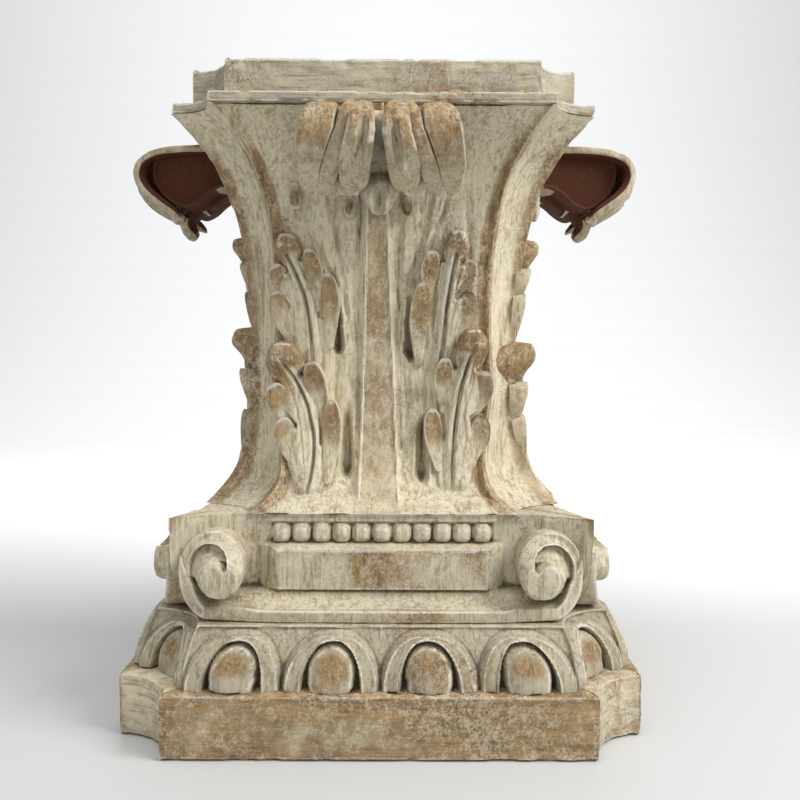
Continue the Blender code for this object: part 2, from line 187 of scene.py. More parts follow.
def colour_property(name, description, default):
    """A colour that a user can change."""
    return FloatVectorProperty(
        name=name, description=description, default=default, size=3, min=0.0, max=1.0,
        subtype="COLOR")


class CapitalSizes(PropertyGroup):
    """Sizes of the carving that a user would change."""

    leaf_proud: length_property(
        "Leaf height", "How far the leaf tips stand out from the bell", 0.0215, 0.005, 0.03)
    lobe_proud: length_property(
        "Lobe height", "How far the side lobes stand out from the bell", 0.0150, 0.003, 0.025)
    ground_depth: length_property(
        "Ground depth", "How deep the ground lies behind the rims of a side", 0.0050, 0.0, 0.01)
    rim_width: length_property(
        "Rim width", "Width of the plain rim along each scooped corner", 0.0026, 0.001, 0.02)
    egg_swell: length_property(
        "Egg swell", "How far the eggs swell out of their arches", 0.0085, 0.002, 0.012)
    arch_proud: length_property(
        "Arch height", "How far the arch bands stand out", 0.0070, 0.001, 0.01)
    bead_swell: length_property(
        "Bead swell", "How far the beads swell out", 0.0060, 0.001, 0.008)
    hand_wobble: length_property(
        "Hand wobble", "How uneven the hand-cut surfaces are", 0.0006, 0.0, 0.003)
    chip_depth: length_property(
        "Chip depth", "Depth of the chips and wear along the edges", 0.0012, 0.0, 0.004)


class CapitalColours(PropertyGroup):
    """Colours of the wood and of the lime wash on it."""

    lime_light: colour_property("Light lime", "Lime wash where it is thick", (0.71, 0.64, 0.465))
    lime_dark: colour_property("Dark lime", "Lime wash where it is thin", (0.36, 0.285, 0.172))
    olive: colour_property("Olive tint", "Yellow green tint in the hollows", (0.36, 0.298, 0.150))
    bare_light: colour_property("Light bare wood", "Wood that is rubbed bare", (0.36, 0.215, 0.085))
    bare_dark: colour_property("Dark bare wood", "Darker streaks of bare wood", (0.165, 0.096, 0.040))
    rust: colour_property("Rust brown", "Red brown inside the curled leaves", (0.075, 0.020, 0.008))
    grey: colour_property("Grey wash", "Grey patches on the top boards", (0.36, 0.34, 0.30))
    # Chalk white: pale wash patches, and also the painted highlight on ridges and rims
    chalk: colour_property("Chalk white", "Palest wash", (0.74, 0.70, 0.61))
    # Dirt colour, also used as painted shade in the deepest cuts
    dirt_and_shade: colour_property("Dirt", "Dirt in the deepest cuts", (0.050, 0.036, 0.022))


class Signal:
    """A node's output that takes part in Python expressions."""

    def __init__(self, graph, socket):
        self.graph = graph
        self.socket = socket

    def math(self, operation, first, second):
        """A Math node on two values or signals."""
        return self.graph.node("ShaderNodeMath", {"operation": operation}, {0: first, 1: second})

    def __add__(self, other):
        return self.math("ADD", self, other)

    def __radd__(self, other):
        return self.math("ADD", other, self)

    def __sub__(self, other):
        return self.math("SUBTRACT", self, other)

    def __rsub__(self, other):
        return self.math("SUBTRACT", other, self)

    def __mul__(self, other):
        return self.math("MULTIPLY", self, other)

    def __rmul__(self, other):
        return self.math("MULTIPLY", other, self)


class Graph:
    """Node tree of one material."""

    def __init__(self, name):
        self.material = bpy.data.materials.new(name)
        self.material.use_nodes = True
        self.tree = self.material.node_tree
        self.shader = self.tree.nodes["Principled BSDF"]

    def node(self, kind, settings=None, inputs=None, output=0):
        """Add a node, set it up, fill its sockets and return one of its outputs."""
        made = self.tree.nodes.new(kind)
        for key, value in (settings or {}).items():
            setattr(made, key, value)
        for key, value in (inputs or {}).items():
            if isinstance(value, Signal):
                self.tree.links.new(value.socket, made.inputs[key])
            else:
                made.inputs[key].default_value = value
        return Signal(self, made.outputs[output])

    def place(self, stretch):
        """Object coordinates, squeezed along each axis by these factors."""
        where = self.node("ShaderNodeTexCoord", output="Object")
        return self.node("ShaderNodeMapping", None, {"Vector": where, "Scale": stretch})

    def noise(self, stretch, scale, detail=4.0, roughness=0.55, distortion=0.0):
        """Noise from 0 to 1."""
        values = {"Vector": self.place(stretch), "Scale": scale, "Detail": detail,
                  "Roughness": roughness, "Distortion": distortion}
        return self.node("ShaderNodeTexNoise", None, values)

    def attribute(self, name):
        """A value stored on the piece's points."""
        return self.node("ShaderNodeAttribute", {"attribute_name": name}, output="Fac")

    def step(self, value, low, high):
        """Smooth step from 0 at low to 1 at high."""
        values = {"Value": value, "From Min": low, "From Max": high}
        return self.node("ShaderNodeMapRange", {"interpolation_type": "SMOOTHSTEP"}, values)

    def blend(self, factor, first, second):
        """Colour between two colours."""
        first = first if isinstance(first, Signal) else (*first, 1.0)
        second = second if isinstance(second, Signal) else (*second, 1.0)
        return self.node("ShaderNodeMix", {"data_type": "RGBA"}, {0: factor, 6: first, 7: second}, 2)

    def cracks(self, stretch, scale, width):
        """Thin crossing lines, 1 on a line."""
        bent = self.node("ShaderNodeTexNoise", None, {
            "Vector": self.place((1.0, 1.0, 1.0)), "Scale": 60.0, "Detail": 2.0}, output="Color")
        shift = self.node("ShaderNodeVectorMath", {"operation": "SCALE"}, {0: bent, "Scale": 0.02})
        where = self.node("ShaderNodeVectorMath", {"operation": "ADD"}, {
            0: self.place(stretch), 1: shift})
        edge = self.node("ShaderNodeTexVoronoi", {"feature": "DISTANCE_TO_EDGE"}, {
            "Vector": where, "Scale": scale})
        return 1.0 - self.step(edge, 0.0, width)

    def link(self, name, value):
        """Feed a signal to the surface shader."""
        self.tree.links.new(value.socket, self.shader.inputs[name])


def limed_wood(name, bare=0.5, grain=(1.0, 1.0, 0.10), grey=0.0, painted_light_level=1.0):
    """Lime wash over brown wood: bare where it is rubbed, darker in the cuts from dirt and painted shade,
    with painted highlight on ridges and rims and a painted light level per material, finely cracked.
    """
    colours = bpy.context.scene.capital_colours
    graph = Graph(name)
    # Painted light: the lime colours are scaled by this material's painted light level, darker for eggs,
    # curls, boards and volutes, brighter for the bell
    light, dark, olive, chalky = (tuple(part * painted_light_level for part in colour) for colour in (
        colours.lime_light, colours.lime_dark, colours.olive, colours.chalk))
    cavity = graph.attribute("cavity")
    proud = graph.attribute("proud")
    rub = graph.attribute("rub")
    broad = graph.noise((1.0, 1.0, 1.0), 14.0, 4.0, 0.6)
    patch = graph.noise((1.0, 1.0, 0.6), 42.0, 6.0, 0.68, 0.8)
    spots = graph.noise((1.0, 1.0, 0.8), 150.0, 5.0, 0.7, 0.5)
    fine = graph.noise((1.0, 1.0, 1.0), 480.0, 4.0, 0.7)
    fibre = graph.noise(grain, 460.0, 4.0, 0.7, 0.5)
    streak = graph.noise(grain, 120.0, 5.0, 0.68, 1.4)

    thick = patch * 0.18 + fibre * 0.28 + streak * 0.38 + spots * 0.16
    lime = graph.blend(graph.step(thick, 0.40, 0.545), dark, light)
    lime = graph.blend(graph.step(broad + cavity * 0.3, 0.46, 0.80) * 0.45, lime, olive)
    chalk = graph.step(broad * 0.30 + spots * 0.35 + fine * 0.35, 0.50, 0.58)
    lime = graph.blend(chalk * 0.60, lime, chalky)
    if grey:
        lime = graph.blend(graph.step(patch, 0.40, 0.62) * grey, lime, colours.grey)

    wood = graph.blend(graph.step(streak * 0.5 + fibre * 0.5, 0.42, 0.58),
                       colours.bare_dark, colours.bare_light)
    wood = graph.blend(graph.step(broad * 0.2 + spots * 0.4 + fine * 0.4, 0.49, 0.58) * 0.50,
                       wood, light)
    shown = broad * 0.60 + patch * 0.44 + rub * 0.56 + proud * 0.16 + (bare - 0.5)
    shown = graph.step(shown + (streak - 0.5) * 0.60 + (fibre - 0.5) * 0.30, 0.58, 0.80)
    colour = graph.blend(shown * 0.90, lime, wood)
    colour = graph.blend(graph.step(graph.attribute("rust") + (patch - 0.5) * 0.8, 0.15, 0.65),
                         colour, colours.rust)
    # Painted highlight: sharp ridges, and points painted below 0, turn chalk white
    painted_edge_highlight = graph.attribute("ridge") * 0.8 + graph.attribute("pale") + (fine - 0.5) * 0.6
    painted_edge_highlight = graph.step(painted_edge_highlight + (patch - 0.5) * 0.8, 0.20, 0.75)
    colour = graph.blend(painted_edge_highlight * 0.68, colour, colours.chalk)

    lines = graph.cracks((1.0, 1.0, 0.45), 95.0, 0.030) * graph.step(broad, 0.46, 0.62)
    hair = graph.cracks((1.0, 1.0, 1.0), 260.0, 0.06) * graph.step(patch, 0.46, 0.64)
    # Dirt and painted shade: hollows and cuts darken towards the dirt colour and gather a few more dark
    # specks
    shade_and_grime_mask = graph.step(cavity + (patch - 0.5) * 0.7 + (fine - 0.5) * 0.3, 0.25, 0.95)
    specks = graph.step(fine * 0.7 + spots * 0.3 + cavity * 0.08, 0.58, 0.66)
    colour = graph.blend(lines * 0.35, colour, colours.bare_dark)
    colour = graph.blend(hair * 0.35, colour, colours.bare_dark)
    colour = graph.blend(specks * 0.50, colour, colours.bare_dark)
    colour = graph.blend(shade_and_grime_mask * 0.72, colour, colours.dirt_and_shade)

    relief = (fibre * 0.45 + fine * 0.35 + spots * 0.40 + patch * 0.5 - lines * 0.5 - hair * 0.35
              - shown * 0.20)
    bump = graph.node("ShaderNodeBump", None, {
        "Strength": 0.70, "Distance": 0.0014, "Height": relief})
    graph.link("Base Color", colour)
    graph.link("Roughness", 0.88 - shown * 0.20 + fine * 0.06)
    graph.link("Normal", bump)
    graph.shader.inputs["Specular IOR Level"].default_value = 0.35
    return graph.material


def unit(value):
    """Values kept between 0 and 1."""
    return np.clip(value, 0.0, 1.0)


def ramp(value, low, high):
    """Smooth step from 0 at low to 1 at high."""
    t = unit((value - low) / (high - low))
    return t * t * (3.0 - 2.0 * t)


def ridge_line(distance, half_width):
    """Rounded ridge or groove across a distance: 1 on the line, 0 past its half width."""
    return unit(1.0 - (distance / half_width) ** 2) ** 0.8


def neighbour_mean(values, edges, share):
    """Each point's values averaged over the points that it has an edge to."""
    first, second = edges.T
    count = len(values)
    columns = []
    for column in values.T:
        total = np.bincount(first, column[second], count) + np.bincount(second, column[first], count)
        columns.append(total)
    return np.stack(columns, axis=1) / share[:, None]


def read_points(mesh, what):
    """Points' places or normals as an array."""
    found = np.empty(len(mesh.vertices) * 3)
    mesh.vertices.foreach_get(what, found)
    return found.reshape(-1, 3)


def store(mesh, name, values):
    """Keep one number for each point, for the materials."""
    mesh.attributes.new(name, "FLOAT", "POINT").data.foreach_set("value", values.astype(np.float32))


def weather(mesh, sizes, chips=1.0):
    """Uneven hand-cut surfaces, worn edges, and each point's values for wear, for dirt and painted shade in
    hollows, and for painted highlight on ridges.
    """
    edges = np.empty(len(mesh.edges) * 2, dtype=np.int64)
    mesh.edges.foreach_get("vertices", edges)
    edges = edges.reshape(-1, 2)
    share = np.maximum(np.bincount(edges.ravel(), minlength=len(mesh.vertices)), 1)
    places = read_points(mesh, "co")
    normals = read_points(mesh, "normal")
    squared = ((places[edges[:, 0]] - places[edges[:, 1]]) ** 2).sum(axis=1)
    spacing = sum(np.bincount(edges[:, end], squared, len(places)) for end in (0, 1)) / share

    def hollow(points, rounds):
        smooth = points
        for _ in range(rounds):
            smooth = neighbour_mean(smooth, edges, share)
        return np.einsum("ij,ij->i", smooth - points, normals)

    near = hollow(places, 6)
    broad = np.array([noise.noise(Vector(p) * BROAD_NOISE) for p in places])
    small = np.array([noise.noise(Vector(p) * SMALL_NOISE) for p in places])
    wear = unit(-near / EDGE_BEND) * ramp(broad + small * 0.6, -0.05, 0.45)
    shift = sizes.hand_wobble * (0.75 * broad + 0.25 * small) - sizes.chip_depth * chips * wear
    places = places + normals * shift[:, None]
    mesh.vertices.foreach_set("co", places.ravel())
    mesh.update()
    near = hollow(places, 5)
    bend = near / spacing
    wide = hollow(places, 40)
    # Cavity: how sunk each point lies; the materials darken it with dirt and painted shade
    cavity = unit((bend - 150.0) / 500.0) * 0.5
    cavity = cavity + unit(wide / HOLLOW_DEPTH) * 0.6
    # Ridge: sharp convex edges, which the materials paint as highlight
    store(mesh, "ridge", unit((-bend - 160.0) / 300.0))
    store(mesh, "proud", unit(-wide / PROUD_HEIGHT))
    store(mesh, "cavity", unit(cavity))
    # Painted values: up to 1 rubbed bare, from 1 to 2 rust, under 0 painted highlight
    paint = np.zeros(len(places), dtype=np.float32)
    if "painted" in mesh.attributes:
        mesh.attributes["painted"].data.foreach_get("value", paint)
    store(mesh, "rub", np.where(paint > 1.0, 0.0, unit(paint)))
    store(mesh, "rust", unit(paint - 1.0))
    store(mesh, "pale", unit(-paint))


def add_piece(name, bm, material, node=None, chips=1.0):
    """Turn a bmesh into a weathered piece that rides with the frame."""
    mesh = bpy.data.meshes.new(name)
    bm.to_mesh(mesh)
    bm.free()
    weather(mesh, bpy.context.scene.capital_sizes, chips)
    mesh.materials.append(material)
    mesh.shade_smooth()
    mesh.set_sharp_from_angle(angle=math.radians(SHARP_ANGLE))
    piece = bpy.data.objects.new(name, mesh)
    bpy.context.scene.collection.objects.link(piece)
    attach(piece, ROOT)
    if node:
        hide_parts(node)


def shaped_grid(bm, columns, rows):
    """New grid, with how far across and up each of its points lies, from 0 to 1."""
    verts = bmesh.ops.create_grid(bm, x_segments=columns, y_segments=rows, size=0.5)["verts"]
    places = np.array([vert.co for vert in verts])
    low = places.min(axis=0)
    span = np.maximum(places.max(axis=0) - low, 1e-9)
    u, v = ((places - low) / span)[:, :2].T
    return verts, u, v


def four_sides(bm, surface, columns, rows):
    """Shape one side with the surface function, turn it four times and close it."""
    layer = bm.verts.layers.float.new("painted")
    verts, u, v = shaped_grid(bm, columns, rows)
    x, y, z, rub = surface(u, v)
    for vert, place, value in zip(verts, np.stack((x, y, z), axis=-1), rub):
        vert.co = place
        vert[layer] = value
    turned_copies(bm)
    bmesh.ops.remove_doubles(bm, verts=bm.verts, dist=0.00001)
    bmesh.ops.holes_fill(bm, edges=[edge for edge in bm.edges if edge.is_boundary])
    bmesh.ops.recalc_face_normals(bm, faces=bm.faces)


def block_profile():
    """Heights and half widths of the volute course, from its foot to its top."""
    cove_top = FILLET_HEIGHT + COVE_HEIGHT
    bead_top = cove_top + PANEL_HEIGHT + BEAD_HEIGHT
    total = BLOCK_HIGH[2] - BLOCK_LOW[2]
    stations = [(0.0, COURSE_HALF - 0.002), (FILLET_HEIGHT * 0.9, COURSE_HALF - 0.003)]
    for step in range(1, 9):
        angle = math.pi / 2 * step / 8
        rise = COVE_HEIGHT * (1.0 - math.cos(angle))
        stations.append((FILLET_HEIGHT + rise, COURSE_HALF - 0.002 - COVE_DEPTH * math.sin(angle)))
    stations.append((cove_top + 0.0008, BLOCK_HALF))
    stations.append((bead_top, BLOCK_HALF))
    stations.append((bead_top + 0.0010, BLOCK_HALF + LIP_FOOT))
    stations.append((total, BLOCK_HALF + LIP_TOP))
    return np.array(stations).T


def bell_size(height):
    """Half width and scoop radius of the bell at a height above its foot."""
    total = BELL_HIGH[2] - BELL_LOW[2]
    up = unit((height - WAIST_HEIGHT) / (total - WAIST_HEIGHT))
    down = unit((WAIST_HEIGHT - height) / WAIST_HEIGHT)
    half = WAIST_HALF + TOP_SPREAD * up ** 2.2 + LIP_SPREAD * up ** 6.5 + FOOT_SPREAD * down ** 2
    scoop = WAIST_SCOOP + (TOP_SCOOP - WAIST_SCOOP) * up + (FOOT_SCOOP - WAIST_SCOOP) * down ** 1.4
    splay = unit(1.0 - height / FOOT_FLARE_HEIGHT) ** 2
    return half + FOOT_FLARE * splay, scoop * (1.0 - splay) + FOOT_FLARE_SCOOP * splay


def curve_place(points, t):
    """Place on a smooth curve through four points, from the second at 0 to the third at 1."""
    p0, p1, p2, p3 = points
    return 0.5 * (2 * p1 + (p2 - p0) * t + (2 * p0 - 5 * p1 + 4 * p2 - p3) * t ** 2
                  + (3 * p1 - p0 - 3 * p2 + p3) * t ** 3)


def smooth_loop(points, count):
    """Points along a smooth closed curve through the given points."""
    total = len(points)
    made = []
    for index in range(count):
        place = index / count * total
        start = int(place)
        near = [np.array(points[(start + step) % total]) for step in (-1, 0, 1, 2)]
        made.append(curve_place(near, place - start))
    return np.array(made)


def fine_path(points, count):
    """Points along a smooth open curve through the given points."""
    points = np.asarray(points, dtype=float)
    ends = np.vstack((2 * points[0] - points[1], points, 2 * points[-1] - points[-2]))
    made = []
    for place in np.linspace(0.0, len(points) - 1.000001, count):
        start = int(place)
        made.append(curve_place(ends[start:start + 4], place - start))
    return np.array(made)


def turned_copies(bm):
    """Turn everything in the bmesh to the other three sides."""
    side = list(bm.verts) + list(bm.edges) + list(bm.faces)
    for quarter in range(1, 4):
        copy = bmesh.ops.duplicate(bm, geom=side)["geom"]
        verts = [part for part in copy if isinstance(part, bmesh.types.BMVert)]
        turn = Matrix.Rotation(quarter * math.pi / 2, 3, "Z")
        bmesh.ops.rotate(bm, verts=verts, cent=(0, 0, 0), matrix=turn)


def segment_gap(x, z, start, end):
    """Distance of points from a straight line between two places."""
    run = np.subtract(end, start)
    share = ((x - start[0]) * run[0] + (z - start[1]) * run[1]) / (run @ run)
    share = unit(share)
    return np.hypot(x - start[0] - run[0] * share, z - start[1] - run[1] * share)


# Half leaves of one side, in millimetres from the middle of the side and the bell's foot.
# Hand: the side that the leaf lies on. Proud: factor on the height of its body.
# Rows: height, outer edge, rib, inner edge. Hood: middle, radius, lift. Lobes: foot, tip,
# half width, lift. Pits: from, to, half width. Slot: middle, foot, top, half width.
HALF_LEAVES = (
    {
        "hand": -1,
        "proud": 1.0,
        "rows": ((9, 65, 57.5, 48), (25, 70.5, 53.7, 40), (40, 76.5, 51.8, 38), (56, 80.5, 52, 38.5),
                 (69, 80.5, 54.5, 42), (80, 83, 57, 46), (92, 86, 62, 50.5), (103, 88.5, 68, 56),
                 (112, 92.5, 74, 60.5), (120, 92, 77, 62.5), (126, 89, 78, 66.5), (131, 82, 77, 72)),
        "hood": (77.0, 116.0, 17.0, 9.0),
        "inner_lobes": (((49.0, 60), (56.3, 115.5), 9.0, 16.0), ((43, 18), (40, 85.5), 8.2, 12.5)),
        "outer_lobes": (((68, 60), (86.0, 97.5), 9.5, 14.0), ((64, 28), (79.0, 71), 9.0, 10.0)),
        "pits": ((80, 77, 69, 64, 2.6), (91, 101, 82, 97.5, 2.0), (64, 104, 57, 113, 2.4),
                 (47.5, 78, 47.5, 50, 2.2)),
        "slot": (28.3, 24, 84, 6.2),
    },
    {
        "hand": 1,
        "proud": 1.0,
        "rows": ((12, 65, 51.7, 46), (26, 69.5, 52.2, 43), (41, 75.5, 52.7, 41), (57, 80, 53.8, 41),
                 (67, 77, 55, 43), (74, 74, 55.8, 44), (83, 77, 57, 45), (95, 83, 59.2, 46.5),
                 (103, 83, 61.7, 50), (110, 78, 63.5, 53), (117, 80.5, 66, 55.5), (125, 83, 69, 57),
                 (133, 82, 70.5, 58), (138, 78, 71, 61.5), (142, 73.5, 71, 67)),
        "hood": (70.5, 127.5, 14.5, 9.5),
        "inner_lobes": (((48.5, 72), (48.5, 118.5), 7.6, 15.5), ((44.5, 28), (38.2, 79), 7.4, 12.5)),
        "outer_lobes": (((68, 68), (81.0, 107.5), 8.8, 13.5), ((67, 32), (77.5, 74), 8.5, 10.0)),
        "pits": ((79, 76, 70, 70, 2.6), (83, 111, 75, 107, 2.2), (56, 110, 52, 119, 2.4),
                 (47.0, 80, 47.0, 55, 2.2)),
        "slot": (30.8, 20.5, 74, 6.2),
    },
    {
        "hand": -1,
        "proud": 0.78,
        "rows": ((106, 66, 53.4, 43), (124, 75, 53.9, 41), (138, 81, 54.9, 41), (154, 84, 56.8, 43),
                 (166, 84, 59.3, 46), (177, 84.3, 63.5, 50), (186, 83, 67.2, 54), (195, 82.5, 71.6, 59.5),
                 (202, 85, 74, 62), (208, 83.5, 74, 63.5), (214, 78, 73, 68)),
        "hood": (72.5, 201.0, 12.0, 6.5),
        "inner_lobes": (((50.8, 152), (57.3, 201), 7.4, 12.5), ((41.8, 122), (42.5, 183.5), 7.4, 10.5)),
        "outer_lobes": (((68, 158), (83.5, 189), 8.0, 10.0), ((68, 124), (84.0, 169), 8.5, 8.0)),
        "pits": ((84, 193, 75.5, 184, 2.4), (84, 171, 74.5, 156.5, 2.6), (64, 193, 58.5, 202, 2.2),
                 (49.5, 178, 49.5, 150, 2.0)),
        "slot": (35.8, 122, 157, 5.4),
    },
    {
        "hand": 1,
        "proud": 0.78,
        "rows": ((108, 53, 43.2, 34), (119, 55.5, 43.8, 33.5), (132, 58.5, 45.5, 34.5),
                 (146, 62.5, 46.6, 35.5), (155, 66, 47.3, 36.5), (162, 68, 48.2, 37.5),
                 (170, 66, 49.5, 39.5), (177, 67, 50.7, 41), (186, 69.5, 52, 42.5),
                 (193, 66.5, 53.5, 44.5), (199, 66.5, 55, 46), (206, 67, 57, 47.5),
                 (212, 65, 57, 50), (217, 60, 57, 53)),
        "hood": (56.8, 205.0, 11.0, 6.0),
        "inner_lobes": (((36.0, 160), (38.3, 200), 7.2, 12.0), ((27.8, 108), (31.4, 177), 8.2, 11.0)),
        "outer_lobes": (((57, 163), (67.5, 193.5), 7.0, 9.5), ((58, 126), (66.5, 170), 7.5, 8.0)),
        "pits": ((67, 178, 57.5, 165, 3.0), (68, 198, 61, 191, 2.4), (46, 193, 42, 201, 2.2),
                 (40.5, 170, 37.5, 140, 2.0)),
        "slot": (22.0, 116, 170, 6.2),
    },
)


# Lines cut in the ground of a side: places and half width, in the same millimetres
GROUND_LINES = (
    (((-77, 224), (-65, 219), (-56, 210), (-50, 201), (-43, 186), (-36, 175), (-31, 163), (-28, 148)), 1.5),
    (((-42, 240), (-36, 210), (-34, 193), (-31, 175), (-28, 152)), 1.6),
    (((-18.5, 262), (-18, 224), (-18, 178), (-19, 116), (-17, 54), (-14, 20)), 1.5),
    (((37, 240), (30, 209), (21, 181), (18, 165)), 1.7),
    (((49, 238), (40, 213), (35, 200)), 1.5),
    (((16, 262), (13, 201), (12, 155), (11, 109), (14, 46)), 1.5),
)


def egg_side(sizes):
    """Side of the egg course: arches with eggs, darts between them, an egg in each scoop."""
    foot_half = PLINTH_HIGH[0] - EGG_LEDGE
    scoop = PLINTH_SCOOP + EGG_SCOOP_EXTRA
    face_half = foot_half - scoop
    total = EGG_HIGH[2] - EGG_LOW[2]
    pitch = 2.0 * (face_half - EGG_END_MARGIN) / EGG_COUNT
    row_half = pitch * EGG_COUNT / 2

    def arch(local, height, arch_half):
        reach = (np.abs(local) / arch_half) ** 2.5 + (height / ARCH_HEIGHT) ** 2.2
        inward = (1.0 - reach ** (1 / 2.3)) * arch_half
        inner_half = arch_half * 0.62
        inner = (np.abs(local) / inner_half) ** 2.3 + (height / (ARCH_HEIGHT * 0.86)) ** 2.1
        outward = (inner ** (1 / 2.2) - 1.0) * inner_half
        band = ramp(inward, 0.0, 0.0012) * ramp(outward, -0.0006, 0.0006)
        slope = 0.52 + 0.30 * unit(inward / (arch_half * 0.36))
        lip = ridge_line(outward - 0.0009, 0.0012)
        rim = ridge_line(inward - 0.0012, 0.0012)
        width = arch_half * (0.510 - 0.040 * (1.0 - height / 0.015) ** 2)
        egg = np.abs(local / width) ** 2.2
        above = (np.abs(height - EGG_WIDEST) / EGG_CROWN) ** 2.2 * (height > EGG_WIDEST)
        swell = unit(1.0 - (egg + above)) ** 0.45
        pit = (1.0 - ramp(outward, -0.0016, 0.0)) * (1.0 - ramp(swell, 0.0, 0.35))
        relief = sizes.arch_proud * (slope + 0.22 * lip + 0.10 * rim) * band
        ground = (1.0 - ramp(inward, -0.0006, 0.0)) * (1.0 - ramp(height, 0.0392, 0.0425))
        relief = relief - SPANDREL_DEPTH * ground
        return relief + sizes.egg_swell * swell - ARCH_PIT * pit, swell

    def surface(u, v):
        share = unit(v / 0.90)
        height = share * total
        half = foot_half - EGG_COURSE_SLOPE * share ** 1.6
        along = (u - SCOOP_SHARE) / (1.0 - 2.0 * SCOOP_SHARE) * 2.0 - 1.0
        x = along * face_half
        local = (x + row_half) % pitch - pitch / 2
        relief, swell = arch(local, height, (pitch - ARCH_GAP) / 2)
        outside = np.abs(x) > row_half
        dart = ridge_line(np.abs(np.abs(local) - pitch / 2), DART_HALF) * ramp(height, 0.030, 0.034)
        relief = relief + DART_PROUD * dart
        turn = np.minimum(u, 1.0 - u) / SCOOP_SHARE
        on_corner = turn < 1.0
        corner, corner_swell = arch(turn * CORNER_SPREAD, height, CORNER_ARCH_HALF)
        relief = np.where(outside, 0.0, relief)
        relief = np.where(on_corner, corner * 0.8, relief)
        relief = relief * ramp(share, -0.2, 0.02) * (1.0 - ramp(share, 0.93, 1.0))
        relief = np.where((turn > 0.95) & (turn < 1.05), relief * 0.4, relief)
        swell = np.where(on_corner, corner_swell, np.where(outside, 0.0, swell))
        rub = 0.80 * swell ** 3 * np.exp(-((height - 0.0205) / 0.0090) ** 2) + 0.06
        shrink = 1.0 - 0.10 * unit((v - 0.90) / 0.10)
        plan_x, plan_y = scooped_side(u, half, scoop - (foot_half - half) * 0.3, relief)
        return plan_x * shrink, plan_y * shrink, EGG_LOW[2] + height, rub

    return surface


def block_side(sizes):
    """Side of the volute course without its scrolls: cove, panel, beads and pointed corners."""
    total = BLOCK_HIGH[2] - BLOCK_LOW[2]
    heights, halves = block_profile()
    cove_top = FILLET_HEIGHT + COVE_HEIGHT
    panel_top = cove_top + PANEL_HEIGHT

    def surface(u, v):
        share = unit(v / 0.90)
        height = share * total
        low = unit(1.0 - height / cove_top)
        tip = HORN_HALF - HORN_TAPER * (1.0 - ramp(height, 0.017, 0.045)) - HORN_UNDERCUT * low ** 0.8
        x = (u * 2.0 - 1.0) * tip
        off = np.abs(x)
        middle = np.interp(height, heights, halves) - BLOCK_HALF
        keep = 1.0 - ramp(off, 0.108, 0.130)
        keep = np.where(height < cove_top, keep, 1.0 - ramp(off, 0.085, 0.092))
        middle = BLOCK_HALF + middle * keep
        out = unit((off - PANEL_HALF_LENGTH) / (tip - PANEL_HALF_LENGTH))
        half = middle + (tip - middle) * out ** 2
        end = 1.0 - unit((off - PANEL_HALF_LENGTH) / PANEL_PROUD)
        edge = np.minimum(height - cove_top, panel_top - height)
        half = half + PANEL_PROUD * ramp(edge, 0.0, 0.0012) * end
        pitch = 2.0 * BEAD_ROW_HALF / BEAD_COUNT
        local = ((x + BEAD_ROW_HALF) % pitch - pitch / 2) / (pitch / 2 * 0.95)
        level = (height - panel_top - BEAD_HEIGHT / 2) / (BEAD_HEIGHT / 2)
        bead = unit(1.0 - np.abs(local) ** 3.0 - np.abs(level) ** 3.0)
        bead = np.where(off < BEAD_ROW_HALF, bead, 0.0) ** 0.5
        in_row = (np.abs(level) < 1.0) & (off < BEAD_ROW_HALF)
        half = half + (sizes.bead_swell + 0.0015) * bead - 0.0015 * in_row
        on_panel = ramp(edge, 0.0, 0.004) * (off < PANEL_HALF_LENGTH)
        brown = 0.42 * np.exp(-((x + 0.008) / 0.013) ** 2) + 0.14
        rub = on_panel * brown + 0.5 * ramp(off, 0.145, 0.156) * ramp(height, 0.05, 0.07)
        shrink = 1.0 - 0.14 * unit((v - 0.90) / 0.10)
        return x * shrink, -half * shrink, BLOCK_LOW[2] + height, rub

    return surface


# Scroll, in millimetres from the middle of the side and the volute course's foot
SCROLL_CENTRE = (-124.0, 40.9)
SCROLL_EYE = (-116.8, 32.9)
SCROLL_EYE_RADIUS = 15.5
SCROLL_OUTLINE = ((-100, 21.5), (-80, 22.5), (-62, 25.4), (-45, 26.2), (-20, 24.4), (0, 24.1),
                  (90, 24.1), (180, 24.1), (200, 24.4), (225, 25.0), (245, 24.0), (260, 21.5))
SCROLL_GROOVE = ((-121.0, 15.9, 0.5), (-127.0, 16.5, 0.9), (-132.8, 20.0, 1.5), (-136.6, 26.0, 2.3),
                 (-138.0, 33.0, 3.4), (-136.5, 41.5, 4.8), (-131.5, 48.0, 5.9), (-124.0, 50.8, 5.8),
                 (-117.5, 48.6, 4.6), (-113.5, 43.8, 2.6), (-112.6, 40.0, 0.8))
SCROLL_DEPTH = 11.5
SCROLL_BACK = BLOCK_HALF * 1000 - 8.0

# Fillet and its sweep round the scroll: angles, and the radii of its outer and inner edge
SWEEP_ANGLES = (262.0, 165.0)
SWEEP_OUTER = ((165, 24.2), (180, 24.6), (200, 26.3), (210, 28.2), (225, 31.6), (240, 35.2),
               (255, 38.4), (270, 40.7))
SWEEP_INNER = ((165, 23.9), (180, 21.8), (200, 19.0), (225, 20.6), (240, 24.4), (255, 28.8),
               (270, 32.3))
# Section of the fillet: how far from its outer edge to its inner one, and how far back
FILLET_SECTION = ((0.0, 4.0), (0.0, 1.0), (0.07, 0.2), (0.22, 0.0), (0.4, 0.0), (0.6, 0.0), (0.78, 0.0),
                  (0.93, 0.2), (1.0, 1.0), (1.0, 4.0))


